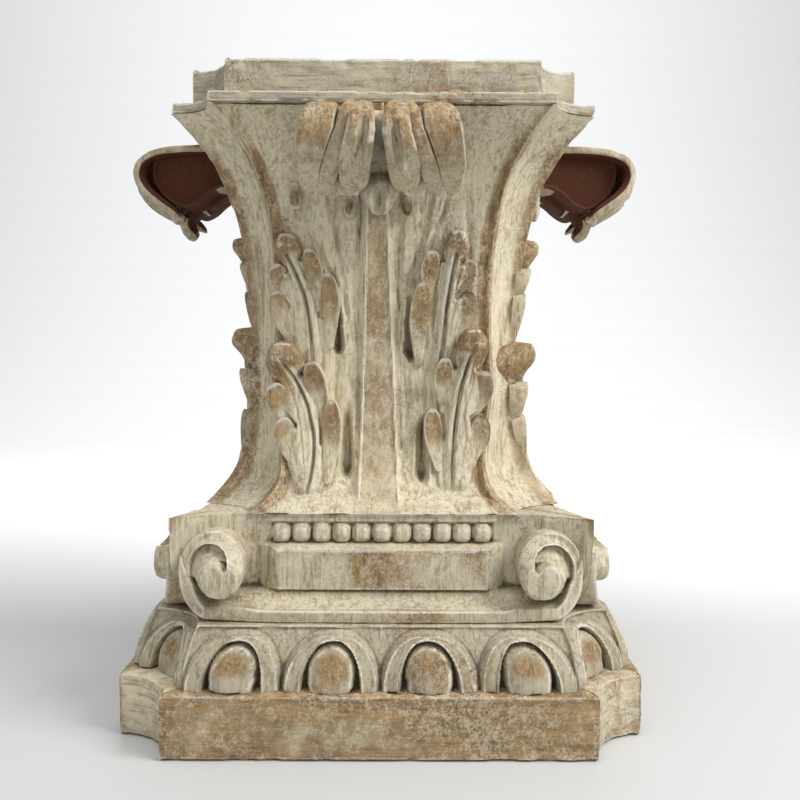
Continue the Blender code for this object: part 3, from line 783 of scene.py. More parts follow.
def scroll_front(x, z):
    """How far out a scroll's face stands, in millimetres from the middle of the capital."""
    off = np.hypot(x - SCROLL_EYE[0], z - SCROLL_EYE[1])
    face = 176.0 - 17.5 * unit((off - 13.0) / 17.0) ** 0.8
    below = ramp(off, SCROLL_EYE_RADIUS - 0.4, SCROLL_EYE_RADIUS + 0.8)
    below = below * ramp(SCROLL_CENTRE[1] - z, 8.0, 13.0)
    face = face - 5.0 * below
    dome = unit(1.0 - (off / SCROLL_EYE_RADIUS) ** 2)
    path = fine_path(SCROLL_GROOVE, 80)
    gap = np.hypot(x[:, None] - path[None, :, 0], z[:, None] - path[None, :, 1])
    reach = gap / np.maximum(path[None, :, 2], 0.05)
    nearest = np.argmin(reach, axis=1)
    share = nearest / (len(path) - 1)
    inside = unit(1.0 - reach[np.arange(len(x)), nearest] ** 4.0) ** 0.35
    depth = SCROLL_DEPTH * (0.30 + 0.70 * share ** 1.3)
    return face + 0.5 * dome - depth * inside


def make_scroll(bm, hand, around=112, rows=48):
    """Scroll at one end of a side: drum with a spiral groove and an eye."""
    made, u, v = shaped_grid(bm, around, rows)
    outline = np.array(SCROLL_OUTLINE).T
    angle = u * 360.0 - 100.0
    radius = np.interp(angle, outline[0], outline[1])
    on_face = unit(v / 0.78)
    on_wall = unit((v - 0.78) / 0.18)
    closing = 1.0 - unit((v - 0.96) / 0.04)
    spread = on_face ** 0.8 * closing
    x = SCROLL_CENTRE[0] + spread * radius * np.cos(np.radians(angle))
    z = SCROLL_CENTRE[1] + spread * radius * np.sin(np.radians(angle))
    rounding = 1.3 * unit((on_face - 0.955) / 0.045) ** 2
    front = scroll_front(x, z) - rounding
    y = front + (SCROLL_BACK - front) * on_wall
    for vert, px, py, pz in zip(made, x, y, z):
        vert.co = (hand * -px / 1000.0, -py / 1000.0, BLOCK_LOW[2] + pz / 1000.0)


def make_fillet_band(bm):
    """Bar that runs along the foot of a side and sweeps up into the scroll at both ends."""
    foot = BLOCK_LOW[2]
    centre_x, centre_z = SCROLL_CENTRE
    stations = []
    for x in np.linspace(0.0, -100.0, 36):
        low = 0.1 + 0.6 * max(0.0, (-x - 70) / 30.0) ** 2 * 0.2
        stations.append(((x, low), (x, FILLET_HEIGHT * 1000 + 0.2 * max(0.0, -x - 90))))
    for angle in np.linspace(*SWEEP_ANGLES, 52):
        ray = (math.cos(math.radians(angle)), math.sin(math.radians(angle)))
        radii = (np.interp(angle, *zip(*edge)) for edge in (SWEEP_OUTER, SWEEP_INNER))
        stations.append([(centre_x + ray[0] * radius, centre_z + ray[1] * radius) for radius in radii])
    right = [[(-x, z) for x, z in pair] for pair in stations[1:]]
    path = np.array(stations[::-1] + right)
    rest = len(path) - 1
    columns = len(FILLET_SECTION) + 2
    verts, u, v = shaped_grid(bm, columns, rest)
    for vert, across, along in zip(verts, u, v):
        column, index = round(across * columns), round(along * rest)
        end = min(index, rest - index) / (len(right) - 1)
        front = COURSE_HALF * 1000 + 0.4 - 7.5 * float(1.0 - ramp(np.array(end), 0.25, 0.75))
        if 0 < column < columns - 1:
            share, sunk = FILLET_SECTION[column - 1]
            depth = front - sunk
        else:
            share = float(column == columns - 1)
            depth = SCROLL_BACK
        outer, inner = path[index]
        x, z = outer + (inner - outer) * share
        vert.co = (x / 1000, -depth / 1000, foot + z / 1000)
    bmesh.ops.remove_doubles(bm, verts=verts, dist=0.00001)
    bmesh.ops.holes_fill(bm, edges=[edge for edge in bm.edges if edge.is_boundary])


def bell_side(sizes):
    """Side of the bell: rims, sunk ground with long flutes, pilaster, lines and slots."""
    total = BELL_HIGH[2] - BELL_LOW[2]

    def surface(u, v):
        height = v * total
        half, scoop = bell_size(height)
        face_half = half - scoop
        x = unit((u - BELL_SCOOP_SHARE) / (1.0 - 2.0 * BELL_SCOOP_SHARE))
        x = (x * 2.0 - 1.0) * face_half
        off = np.abs(x)
        apron = 1.0 - ramp(height, APRON_LOW, APRON_HIGH)
        inside = ramp(face_half - off, sizes.rim_width, sizes.rim_width + 0.003) * (1.0 - apron)
        middle = PILASTER_TOP_MIDDLE + (PILASTER_FOOT_MIDDLE - PILASTER_TOP_MIDDLE) * (1.0 - v)
        pilaster_half = PILASTER_FOOT_HALF + (PILASTER_TOP_HALF - PILASTER_FOOT_HALF) * v ** 0.8
        beside = np.abs(x - middle) - pilaster_half
        spread = unit(beside / np.maximum(face_half - pilaster_half, 1e-4))
        waver = 0.03 * np.sin(height * 38.0 + x * 60.0) + 0.02 * np.sin(height * 83.0 - x * 90.0)
        flutes = np.abs(np.cos((spread ** 0.9 + waver) * math.pi * FLUTE_PAIRS)) ** 0.45
        fade = ramp(v, 0.05, 0.2) * (1.0 - ramp(v, 0.72, 0.92))
        relief = -sizes.ground_depth * inside + FLUTE_PROUD * flutes * inside * fade
        channel = ridge_line(beside - CHANNEL_WIDTH * 0.5, CHANNEL_WIDTH * 0.5)
        relief = relief - CHANNEL_DEPTH * channel * ramp(v, 0.04, 0.10)
        for places, wide in GROUND_LINES:
            path = fine_path(places, 40)
            gap = np.full_like(x, 1e3)
            for one, other in zip(path, path[1:]):
                gap = np.minimum(gap, segment_gap(x * 1000.0, height * 1000.0, one, other))
            cut = ridge_line(gap, wide * 1.3) - 0.7 * ridge_line(gap - wide * 2.2, wide * 1.2)
            relief = relief - LINE_DEPTH * cut
        on_pilaster = 1.0 - ramp(beside, -0.0004, 0.0012)
        edge_line = ridge_line(beside + 0.0008, 0.0012)
        flat = (PILASTER_EDGE * edge_line - PILASTER_SINK) * ramp(v, 0.01, 0.03)
        relief = relief * (1.0 - on_pilaster) + flat * on_pilaster
        rub = 0.30 * on_pilaster + 0.08 * flutes + 0.06
        # Painted highlight: pale lines along both edges of the pilaster
        rub = rub - 1.1 * ridge_line(beside + 0.0006, 0.0014) * ramp(v, 0.01, 0.03)
        for leaf in HALF_LEAVES:
            slot_x, low, high, width = (value / 1000.0 for value in leaf["slot"])
            along = unit((height - low + 0.001) / (high - low))
            shape = width * np.minimum(np.sqrt(unit(along * 7.0)),
                                       0.35 + 0.65 * (1.0 - along) ** 0.8)
            slot = ridge_line(x - leaf["hand"] * slot_x, np.maximum(shape, 1e-6))
            slot = slot * unit(along * 40.0) * (1.0 - ramp(along, 0.70, 1.0))
            relief = relief - SLOT_DEPTH * (1.0 - 0.50 * along) * slot ** 0.45
            bank = ridge_line(np.abs(x - leaf["hand"] * slot_x) - shape - 0.0012, 0.0020)
            bank = bank * ramp(along, 0.0, 0.1) * (1.0 - ramp(along, 0.6, 1.0))
            relief = relief + SLOT_BANK * bank
        relief = relief * ramp(face_half - off, 0.0, 0.0012)
        turn = np.minimum(u, 1.0 - u)
        on_face = turn >= BELL_SCOOP_SHARE * 0.9999
        rim = ramp(off - face_half, -sizes.rim_width - 0.001, -sizes.rim_width + 0.001)
        # Painted shade: bare brown wood along the ground just inside each rim, where the step casts its
        # shadow; the rim itself is rubbed
        painted_step_shadow = ridge_line(face_half - off - sizes.rim_width - 0.0035, 0.0060)
        rub = rub + (0.40 * rim + 0.55 * painted_step_shadow) * (1.0 - ramp(v, 0.86, 0.97)) + 0.10 * rim
        # Painted highlight: a pale line along the arris between face and scoop
        rub = rub - 0.8 * ridge_line(face_half - off - 0.0008, 0.0014)
        in_scoop = 0.50 * ramp(turn / BELL_SCOOP_SHARE, 0.40, 0.70) * (1.0 - ramp(v, 0.90, 1.0))
        rub = np.where(on_face, rub, in_scoop)
        plan_x, plan_y = scooped_side(u, half, scoop, np.where(on_face, relief, 0.0),
                                      BELL_SCOOP_SHARE)
        return plan_x, plan_y, BELL_LOW[2] + height, rub

    return surface


def scooped_side(u, half, scoop, proud, share=SCOOP_SHARE):
    """Plan position of a side: u runs from one scoop's middle to the next."""
    bend = unit(np.minimum(u, 1.0 - u) / share)
    angle = math.pi / 4 * (1.0 - bend)
    side = np.where(u < 0.5, -1.0, 1.0)
    along = unit((u - share) / (1.0 - 2.0 * share)) * 2.0 - 1.0
    on_face = bend >= 0.9999
    x = np.where(on_face, along * (half - scoop), side * (half - (scoop - proud) * np.cos(angle)))
    y = np.where(on_face, -half - proud, -half + (scoop - proud) * np.sin(angle))
    return x, y


def bell_front(height):
    """How far out the bell's ground lies at a height above its foot."""
    half, _ = bell_size(height)
    return half - GROUND_SINK


def make_blade(bm, leaf, sizes, columns=50, rows=88):
    """Body of a half leaf: swells out of the ground, with a grooved rib, veins, pits and hood."""
    layer = bm.verts.layers.float["painted"]
    made, u, v = shaped_grid(bm, columns, rows)
    line = fine_path(leaf["rows"], 161)
    fine = np.linspace(0.0, 1.0, 161)
    rise, outer_x, rib_x, inner_x = (np.interp(v, fine, line[:, axis]) for axis in range(4))
    across = u * 2.0 - 1.0
    off = across * np.where(across < 0.0, rib_x - inner_x, outer_x - rib_x)
    x, z = rib_x + off, rise - 0.08 * np.abs(off)
    body = np.interp(v, (0.0, 0.12, 0.4, 0.8, 1.0), (0.5, 4.5, 8.5, 10.5, 10.5)) * leaf["proud"]
    centre_x, centre_z, radius, lift = leaf["hood"]
    gap = np.hypot(x - centre_x, z - centre_z) / radius
    hood = unit(1.0 - gap ** 2) ** 0.6 * ramp(z, centre_z - radius, centre_z + 2.0)
    under = 1.0 - ramp(z, centre_z - 13.0, centre_z - 2.0)
    groove = ridge_line(off - 1.9, 1.7) * (1.0 - ramp(z, centre_z - 6.0, centre_z + 2.0))
    left_rim, right_rim = ridge_line(off + 1.8, 3.4) * under, ridge_line(off - 4.6, 1.8) * under
    bulge = 1.8 * np.sin(math.pi * unit(across)) - 1.8 * np.sin(math.pi * unit(-across)) * under
    veins = sum(ridge_line(across - place, 0.055) for place in (-0.62, -0.34, 0.42, 0.68))
    swell = unit(1.0 - np.abs(across) ** 5.0) ** 0.5
    relief = body + bulge + 2.0 * left_rim + 0.8 * right_rim - 3.6 * groove
    relief = relief - 0.9 * veins * ramp(v, 0.05, 0.2) * (1.0 - ramp(v, 0.70, 0.85))
    relief = (relief + lift * hood * sizes.leaf_proud / 0.0215) * swell
    for x0, z0, x1, z1, wide in leaf["pits"]:
        reach = segment_gap(x, z, (x0, z0), (x1, z1))
        relief = relief - 7.0 * unit(1.0 - (reach / wide) ** 2)
    ends = ramp(v, 0.0, 0.05) * (1.0 - ramp(v, 0.94, 1.0) ** 2)
    relief = relief * ends - 2.5 * (1.0 - np.minimum(swell * 3.0, 1.0) * ends)
    front = bell_front(z / 1000.0) * 1000.0 + np.maximum(relief, -2.5)
    brown = 0.50 * ramp(v, 0.40, 0.70) * ramp(across, 0.10, 0.40) * (1.0 - hood) + 0.70 * hood + 0.14
    # Painted highlight: pale lines along the rims beside the rib's groove
    brown = brown - (0.60 * left_rim + 0.15 * right_rim) * (1.0 - hood)
    for vert, px, py, pz, value in zip(made, x, front, z, brown):
        vert.co = (leaf["hand"] * px / 1000.0, -py / 1000.0, BELL_LOW[2] + pz / 1000.0)
        vert[layer] = min(value, 0.98)
    border = [edge for edge in {e for vert in made for e in vert.link_edges} if edge.is_boundary]
    walls = bmesh.ops.extrude_edge_only(bm, edges=border)["geom"]
    pushed = [part for part in walls if isinstance(part, bmesh.types.BMVert)]
    for vert in pushed:
        vert.co.y += 0.014
    rim = [part for part in walls if isinstance(part, bmesh.types.BMEdge) and part.is_boundary]
    bmesh.ops.holes_fill(bm, edges=rim)


def ball_shares(vert):
    """Where a point of a ball lies: from pole to pole, across, and towards the top."""
    share = 1.0 - math.acos(max(-1.0, min(1.0, vert.co.z))) / math.pi
    around = math.atan2(vert.co.y, vert.co.x)
    return share, math.cos(around), math.sin(around)


def petal_width(share):
    """Half width along a petal, 1 where it is widest: slim at the foot, round at the tip."""
    if share >= 0.62:
        return math.sqrt(max(0.0, 1.0 - ((share - 0.62) / 0.38) ** 2))
    rise = share / 0.62
    return (0.40 + 0.60 * rise * rise * (3.0 - 2.0 * rise)) * math.sqrt(min(1.0, share / 0.05))


def shape_lobe(bm, foot, tip, width, lift, hand, hollow=0.30, crown=0.40, bend=0.0, tilt=0.0,
               base=2.0, brown=0.5, pale=0.0):
    """Petal on a side, in millimetres, solid down to the ground, with a hollow face."""
    layer = bm.verts.layers.float["painted"]
    verts = bmesh.ops.create_uvsphere(bm, u_segments=28, v_segments=22, radius=1.0)["verts"]
    run = Vector((tip[0] - foot[0], tip[1] - foot[1]))
    side = Vector((run.y, -run.x)).normalized()
    for vert in verts:
        share, across, top = ball_shares(vert)
        swell = petal_width(share)
        reach = across * width * swell
        place = Vector(foot) + run * share + side * (reach + bend * math.sin(math.pi * share))
        out = base + (lift - base) * share ** 1.2 + tilt * across * swell
        if top >= 0.0:
            dish = max(0.0, 1.0 - (across / 0.84) ** 2) ** 0.7 * min(1.0, top * 2.0)
            out += crown * width * swell * top * (1.0 + 0.3 * share)
            out -= hollow * width * swell * dish * min(1.0, share * 2.2)
        else:
            out += (-2.0 - out) * min(1.0, -top * 2.2)
        height = place.y / 1000.0
        front = float(bell_front(np.array([height]))[0])
        vert.co = (hand * place.x / 1000.0, -(front + out / 1000.0), BELL_LOW[2] + height)
        value = brown * max(0.0, top) ** 0.3 * math.exp(-((share - 0.70) / 0.40) ** 2)
        # Painted highlight: a pale band along one long edge, as strong as the pale argument
        rim = max(0.0, -across - 0.75) / 0.25 * (top > -0.3) * min(1.0, share * 2.0)
        vert[layer] = value - (value + pale) * rim if pale else value


def make_half_leaf(bm, leaf, sizes):
    """Body with its hooded tip, and the side lobes, of one half leaf."""
    make_blade(bm, leaf, sizes)
    grow = sizes.lobe_proud / 0.0150
    for foot, tip, width, lift in leaf["inner_lobes"]:
        # Inner lobes carry a painted highlight along one edge
        shape_lobe(bm, foot, tip, width, lift * grow, leaf["hand"], hollow=0.36, bend=-1.5,
                   tilt=-0.8, brown=0.58, pale=0.5)
    for foot, tip, width, lift in leaf["outer_lobes"]:
        shape_lobe(bm, foot, tip, width, lift * grow, leaf["hand"], hollow=0.14, crown=0.22,
                   bend=2.0, tilt=1.0, brown=0.46)


# Large curled leaf in side view, in millimetres: how far out and how high
CURL_CORE = ((130, 459), (165, 458.5), (184, 455), (195, 449), (199, 441), (198, 430), (192, 420),
             (183, 412), (172, 408), (160, 413), (150, 421), (140, 426), (130, 429))
CURL_CORE_HALF = 46.0
CURL_TONGUE = ((158, 415), (171, 409), (177, 401), (176, 393), (169, 386))
CURL_UNDER = ((158, 420), (175, 412), (181, 404), (177, 397))
# Small drops under the curl: middle, top, foot, half width
CURL_DROPS = ((-66.5, 415, 394, 5.2), (-25.5, 406, 388, 4.6), (18.0, 408, 391, 4.0))
CURL_PATH = ((146, 456), (168, 455.5), (187, 453.5), (198.5, 449.5), (205, 443.5), (207, 435.5),
             (205, 427), (199, 418.5), (190, 411), (180.5, 404.5), (171, 397))
CURL_TONGUE_PATH = ((146, 455), (173, 454.5), (192, 451.5), (203.5, 446.5), (210, 440), (212.5, 433),
                    (211, 425.5), (205, 417), (195.5, 409.5), (185, 404), (174, 400))

# Straps of the curled leaf: path, middle lines and half widths at five places, thickness
CURL_STRAPS = (
    (CURL_PATH, (-39.5, -40, -43.4, -50, -50), (8.0, 11.2, 12.6, 9.6, 4.5), 5.5),
    (CURL_PATH, (37, 37.5, 41, 47.5, 47.5), (8.0, 11.2, 12.6, 9.6, 4.5), 5.5),
    (CURL_TONGUE_PATH, (-12.8, -12.8, -13.2, -18, -20), (5.5, 7.8, 10.0, 11.2, 9.0), 6.5),
    (CURL_TONGUE_PATH, (9.5, 9.5, 10.0, 15, 17), (5.5, 7.8, 10.0, 11.2, 9.0), 6.5),
    (CURL_PATH, (-21.5, -21.5, -24.5, -34.5, -41), (3.4, 4.6, 6.2, 6.8, 7.0), 5.8),
    (CURL_PATH, (18.5, 18.5, 21.5, 31.5, 38), (3.4, 4.6, 6.2, 6.8, 7.0), 5.8),
)
# Dents in the third and fourth strap and in the tongue: middle, height, half sizes, lean, depth
CURL_DENTS = {
    2: ((-12.8, 428.0, 3.4, 12.5, 0.12, 6.5), (-23.0, 417.5, 5.0, 8.5, 0.25, 4.0)),
    3: ((9.8, 426.0, 3.4, 12.5, -0.12, 6.5), (20.5, 415.5, 5.0, 8.5, -0.25, 4.0)),
}
TONGUE_DENTS = ((-1.5, 394.5, 3.9, 8.0, 0.0, 6.0),)


def shape_strap(bm, path, middles, halves, thick, dents=(), brown=0.3, steps=(34, 50), hollow=0.0):
    """Rounded strap that follows a side-view path, with dents and creases cut into its face."""
    layer = bm.verts.layers.float["painted"]
    verts = bmesh.ops.create_uvsphere(bm, u_segments=steps[0], v_segments=steps[1], radius=1.0)["verts"]
    line = fine_path(path, 101)
    fine = np.linspace(0.0, 1.0, 101)
    marks = np.linspace(0.0, 1.0, len(middles))
    slope = np.gradient(line, axis=0)
    slope = slope / np.linalg.norm(slope, axis=1)[:, None]
    for vert in verts:
        share, across, top = ball_shares(vert)
        out, height = (float(np.interp(share, fine, line[:, axis])) for axis in (0, 1))
        run = [float(np.interp(share, fine, slope[:, axis])) for axis in (0, 1)]
        normal = (-run[1], run[0])
        end = min(1.0, (1.0 - share) / 0.16, share / 0.04)
        swell = math.sqrt(max(0.0, 1.0 - (1.0 - end) ** 2))
        width = float(np.interp(share, marks, halves)) * swell
        x = float(np.interp(share, marks, middles)) + across * width
        lift = thick * swell * (top if top < 0.0 else top ** 0.75)
        sunk = 0.0
        if top > 0.0:
            for dent_x, dent_z, wide, tall, lean, deep in dents:
                level = height - dent_z
                gap = ((x - dent_x - lean * level) / wide) ** 2 + (level / tall) ** 2
                sunk = max(sunk, math.sqrt(max(0.0, 1.0 - gap)))
                lift -= deep * math.sqrt(max(0.0, 1.0 - gap))
            dish = max(0.0, 1.0 - (across / 0.85) ** 2) ** 0.7 * min(1.0, top * 2.0)
            lift -= hollow * dish * swell * min(1.0, share * 1.6)
            crease = math.exp(-((abs(across) - 0.42) / 0.09) ** 2) * swell
            lift -= 0.8 * crease
        vert.co = (x / 1000, -(out + normal[0] * lift) / 1000, (height + normal[1] * lift) / 1000)
        wear = math.exp(-((share - 0.38) / 0.18) ** 2) * (1.0 - sunk)
        paint = brown * max(0.0, top) ** 0.3 * (0.30 + 0.70 * wear)
        # Painted highlight: pale bands along both edges of the hollowed straps
        pale = max(0.0, abs(across) - 0.80) / 0.20 * (0.0 <= top) * ramp(np.array(share), 0.3, 0.5)
        pale = float(pale) * (hollow > 0.0)
        in_side = 1.9 * (hollow == 0.0 and abs(across) > 0.60 and share < 0.42)
        vert[layer] = max(in_side, paint - (paint + 0.5) * pale + (top < -0.3) * 1.8)


def make_curl(bm):
    """Large leaf that rolls out of the bell's top: core, six straps, tongue, and drops below."""
    layer = bm.verts.layers.float["painted"]
    made, u, v = shaped_grid(bm, 40, 60)
    loop = smooth_loop(CURL_CORE, 360)
    for vert, across, turn in zip(made, u, v):
        share = across * 2.0 - 1.0
        step = (turn % 1.0) * 360.0
        first = int(step) % 360
        out, height = loop[first] * (1 - step % 1) + loop[(first + 1) % 360] * (step % 1)
        pull = 1.0 - 0.08 * abs(share) ** 4
        out = 150.0 + (out - 150.0) * pull - 7.0 * (1.0 - float(ramp(np.array(abs(share)), 0.2, 0.4)))
        vert.co = (share * CURL_CORE_HALF / 1000, -out / 1000, height / 1000)
        vert[layer] = 1.9 if abs(share) > 0.85 or (height < 424.0 and out < 176.0) else 0.2
    bmesh.ops.remove_doubles(bm, verts=made, dist=0.00002)
    rims = [edge for edge in bm.edges if edge.is_boundary]
    caps = bmesh.ops.holes_fill(bm, edges=rims)["faces"]
    bmesh.ops.recalc_face_normals(bm, faces=bm.faces)
    for cap in caps:
        if len(cap.verts) > 8:
            bmesh.ops.inset_region(bm, faces=[cap], thickness=0.0030, depth=-0.0050)
    for number, (path, middles, halves, thick) in enumerate(CURL_STRAPS):
        shape_strap(bm, path, middles, halves, thick, CURL_DENTS.get(number, ()),
                    0.60 if number < 2 else 0.45, hollow=2.4 if number < 2 else 1.4)
    shape_strap(bm, CURL_TONGUE, (-1.0, -1.0, -1.3, -1.5), (14, 15.5, 12, 4.5), 7.0,
                TONGUE_DENTS, steps=(48, 34))
    for hand in (-1, 1):
        shape_strap(bm, CURL_UNDER, (hand * 24, hand * 24, hand * 22), (9, 10, 7), 6.0, steps=(16, 20))
    for middle, top, foot, wide in CURL_DROPS:
        shift = 1000.0 * BELL_LOW[2]
        shape_lobe(bm, (abs(middle), top - shift), (abs(middle), foot - shift), wide, 8.0,
                   -1 if middle < 0 else 1, hollow=0.0, crown=0.5, base=5.0, brown=0.8)


def board_mesh(low_corner, high_corner, scoop, wear, brown=0.0):
    """Scooped board with worn edges, its top and underside closed by flat faces."""
    bm = bmesh.new()
    half = high_corner[0]
    low, high = low_corner[2], high_corner[2]
    stations = (0.0, 0.12, 0.16, 0.84, 0.88, 1.0)
    shrinks = (0.93, 1.0, 1.0, 1.0, 1.0, 0.93)
    prouds = (-wear, -wear, 0.0, 0.0, -wear, -wear)
    heights = (low, low, low + wear, high - wear, high, high)

    def surface(u, v):
        x, y = scooped_side(u, half, scoop, np.interp(v, stations, prouds))
        shrink = np.interp(v, stations, shrinks)
        on_face = np.minimum(u, 1.0 - u) > SCOOP_SHARE * 0.999
        return x * shrink, y * shrink, np.interp(v, stations, heights), brown * on_face

    four_sides(bm, surface, 180, 18)
    return bm


class CAPITAL_OT_stage(Operator):
    """Lay the pale floor, the soft lights and the camera"""

    bl_idname = "capital.stage"
    bl_label = "Stage"

    def execute(self, context):
        scene = context.scene
        scene.view_settings.view_transform = "Standard"
        bm = bmesh.new()
        bmesh.ops.create_grid(bm, x_segments=2, y_segments=96, size=FLOOR_HALF)
        for vert in bm.verts:
            turn = min(math.pi / 2, max(0.0, (vert.co.y - SWEEP_START) / SWEEP_RADIUS))
            rest = max(0.0, vert.co.y - SWEEP_START - SWEEP_RADIUS * math.pi / 2)
            if turn:
                vert.co.y = SWEEP_START + SWEEP_RADIUS * math.sin(turn)
                vert.co.z = SWEEP_RADIUS * (1.0 - math.cos(turn)) + rest
        mesh = bpy.data.meshes.new("floor")
        bm.to_mesh(mesh)
        bm.free()
        graph = Graph("studio_floor")
        # Painted shading: the floor lightens from front to back
        depth = graph.node("ShaderNodeSeparateXYZ", None, {0: graph.place((1.0, 1.0, 1.0))}, 1)
        graph.link("Base Color", graph.blend(graph.step(depth, -0.5, 1.6), FLOOR_NEAR_SHADED, FLOOR_FAR_LIT))
        graph.shader.inputs["Roughness"].default_value = 0.55
        mesh.materials.append(graph.material)
        floor = bpy.data.objects.new("floor", mesh)
        scene.collection.objects.link(floor)
        world = bpy.data.worlds.new("studio")
        world.use_nodes = True
        background = world.node_tree.nodes["Background"]
        background.inputs["Color"].default_value = WORLD_COLOUR
        background.inputs["Strength"].default_value = WORLD_STRENGTH
        scene.world = world
        for name, (place, target, size, power) in LIGHTS.items():
            light = bpy.data.lights.new(name, "AREA")
            light.size = size
            light.energy = power
            lamp = bpy.data.objects.new(name, light)
            lamp.location = place
            aim = Vector(target) - Vector(place)
            lamp.rotation_euler = aim.to_track_quat("-Z", "Y").to_euler()
            scene.collection.objects.link(lamp)
        camera = bpy.data.cameras.new("camera")
        camera.lens = CAMERA_FOCAL_PIXELS / PICTURE_PIXELS * camera.sensor_width
        view = bpy.data.objects.new("camera", camera)
        tilt = Matrix.Rotation(math.radians(90.0 - CAMERA_DROP), 4, "X")
        yaw = Matrix.Rotation(math.radians(CAMERA_YAW), 4, "Z")
        roll = Matrix.Rotation(math.radians(CAMERA_ROLL), 4, "Z")
        view.matrix_world = Matrix.Translation(CAMERA_PLACE) @ yaw @ tilt @ roll
        scene.collection.objects.link(view)
        scene.camera = view
        return {"FINISHED"}


class CAPITAL_OT_plinth(Operator):
    """Carve the plinth"""

    bl_idname = "capital.plinth"
    bl_label = "Plinth"

    def execute(self, context):
        material = limed_wood("plinth_bare_wood", bare=0.52, grain=(0.10, 0.10, 1.0))
        bm = board_mesh(PLINTH_LOW, PLINTH_HIGH, PLINTH_SCOOP, PLINTH_WEAR, 0.30)
        add_piece("plinth_piece", bm, material, "plinth")
        return {"FINISHED"}


class CAPITAL_OT_eggs(Operator):
    """Carve the egg-and-dart course"""

    bl_idname = "capital.eggs"
    bl_label = "Egg course"

    def execute(self, context):
        material = limed_wood("egg_limed_wood", bare=0.49, painted_light_level=0.68)
        bm = bmesh.new()
        four_sides(bm, egg_side(context.scene.capital_sizes), 290, 56)
        add_piece("egg_course_piece", bm, material, "egg_course")
        return {"FINISHED"}


class CAPITAL_OT_volutes(Operator):
    """Carve the volute course and its scrolls"""

    bl_idname = "capital.volutes"
    bl_label = "Volute course"

    def execute(self, context):
        material = limed_wood("volute_limed_wood", bare=0.46, painted_light_level=0.88)
        bm = bmesh.new()
        four_sides(bm, block_side(context.scene.capital_sizes), 230, 60)
        add_piece("volute_block_piece", bm, material, "volute_course")
        bm = bmesh.new()
        make_fillet_band(bm)
        for hand in (-1, 1):
            make_scroll(bm, hand)
        bmesh.ops.remove_doubles(bm, verts=bm.verts, dist=0.00001)
        bmesh.ops.recalc_face_normals(bm, faces=bm.faces)
        turned_copies(bm)
        add_piece("scrolls_piece", bm, material, chips=0.4)
        return {"FINISHED"}


class CAPITAL_OT_bell(Operator):
    """Carve the bell's body"""

    bl_idname = "capital.bell"
    bl_label = "Bell"

    def execute(self, context):
        material = limed_wood("bell_limed_wood", bare=0.44, painted_light_level=1.04)
        bm = bmesh.new()
        four_sides(bm, bell_side(context.scene.capital_sizes), 158, 142)
        add_piece("bell_piece", bm, material, "bell")
        return {"FINISHED"}


class CAPITAL_OT_leaves(Operator):
    """Carve the half leaves on the bell's sides"""

    bl_idname = "capital.leaves"
    bl_label = "Leaves"

    def execute(self, context):
        material = limed_wood("leaf_limed_wood", bare=0.45, painted_light_level=1.00)
        for name, leaves in (("lower_leaves_piece", HALF_LEAVES[:2]),
                             ("upper_leaves_piece", HALF_LEAVES[2:])):
            bm = bmesh.new()
            bm.verts.layers.float.new("painted")
            for leaf in leaves:
                make_half_leaf(bm, leaf, context.scene.capital_sizes)
            bmesh.ops.recalc_face_normals(bm, faces=bm.faces)
            turned_copies(bm)
            add_piece(name, bm, material, chips=0.5)
        return {"FINISHED"}


class CAPITAL_OT_curls(Operator):
    """Carve the four leaves that curl out under the boards"""

    bl_idname = "capital.curls"
    bl_label = "Curled leaves"

    def execute(self, context):
        material = limed_wood("curl_limed_wood", bare=0.45, painted_light_level=0.80)
        bm = bmesh.new()
        bm.verts.layers.float.new("painted")
        make_curl(bm)
        turned_copies(bm)
        add_piece("curls_piece", bm, material, chips=0.6)
        return {"FINISHED"}


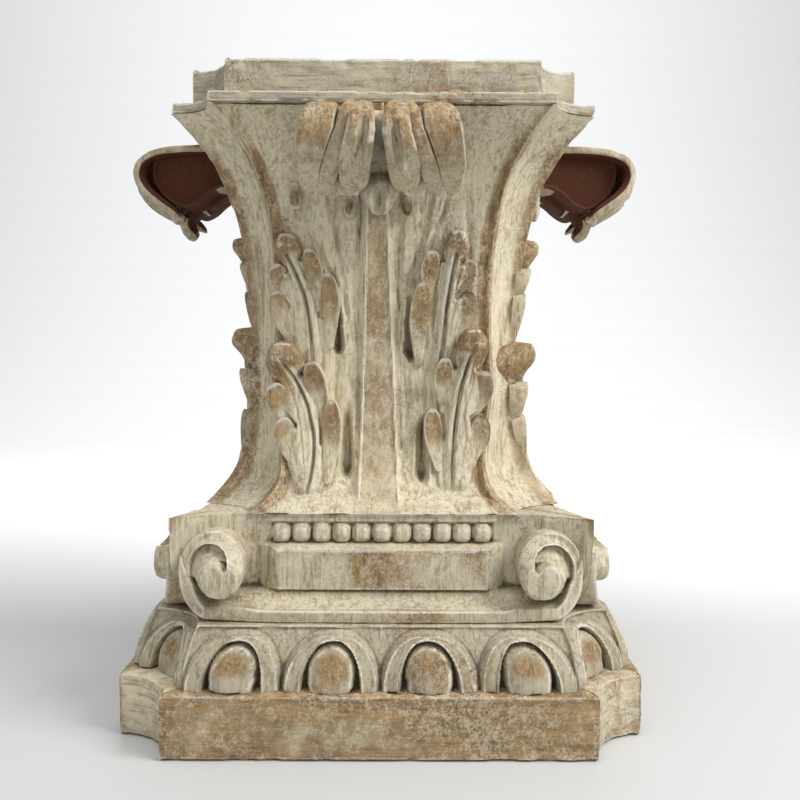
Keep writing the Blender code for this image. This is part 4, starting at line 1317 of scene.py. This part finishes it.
class CAPITAL_OT_boards(Operator):
    """Make the two boards on top"""

    bl_idname = "capital.boards"
    bl_label = "Top boards"

    def execute(self, context):
        material = limed_wood("board_grey_wood", bare=0.52, grain=(0.10, 0.10, 1.0), grey=0.5, painted_light_level=0.76)
        bm = board_mesh(BOARD_LOW, BOARD_HIGH, BOARD_SCOOP, BOARD_WEAR, 0.05)
        add_piece("abacus_board_piece", bm, material, "abacus_board")
        bm = board_mesh(CAP_LOW, CAP_HIGH, CAP_SCOOP, CAP_WEAR)
        add_piece("abacus_cap_piece", bm, material, "abacus_cap")
        return {"FINISHED"}


class CAPITAL_PT_panel(Panel):
    """Buttons that build the capital, layer by layer"""

    bl_label = "Capital"
    bl_space_type = "VIEW_3D"
    bl_region_type = "UI"
    bl_category = "Capital"

    def draw(self, context):
        layout = self.layout
        for group in (context.scene.capital_sizes, context.scene.capital_colours):
            for key in group.__annotations__:
                layout.prop(group, key)
        for operator in BUILDERS:
            layout.operator(operator.bl_idname)


BUILDERS = (
    CAPITAL_OT_stage,
    CAPITAL_OT_plinth,
    CAPITAL_OT_eggs,
    CAPITAL_OT_volutes,
    CAPITAL_OT_bell,
    CAPITAL_OT_leaves,
    CAPITAL_OT_curls,
    CAPITAL_OT_boards,
)
CLASSES = (CapitalSizes, CapitalColours, *BUILDERS, CAPITAL_PT_panel)


def register():
    """Register the classes and the settings."""
    for item in CLASSES:
        bpy.utils.register_class(item)
    bpy.types.Scene.capital_sizes = PointerProperty(type=CapitalSizes)
    bpy.types.Scene.capital_colours = PointerProperty(type=CapitalColours)


def unregister():
    """Take the settings and the classes away again."""
    del bpy.types.Scene.capital_colours
    del bpy.types.Scene.capital_sizes
    for item in reversed(CLASSES):
        bpy.utils.unregister_class(item)


def main():
    """Build the whole capital."""
    register()
    bpy.ops.capital.stage()
    bpy.ops.capital.plinth()
    bpy.ops.capital.eggs()
    bpy.ops.capital.volutes()
    bpy.ops.capital.bell()
    bpy.ops.capital.leaves()
    bpy.ops.capital.curls()
    bpy.ops.capital.boards()


if __name__ == "__main__":
    main()
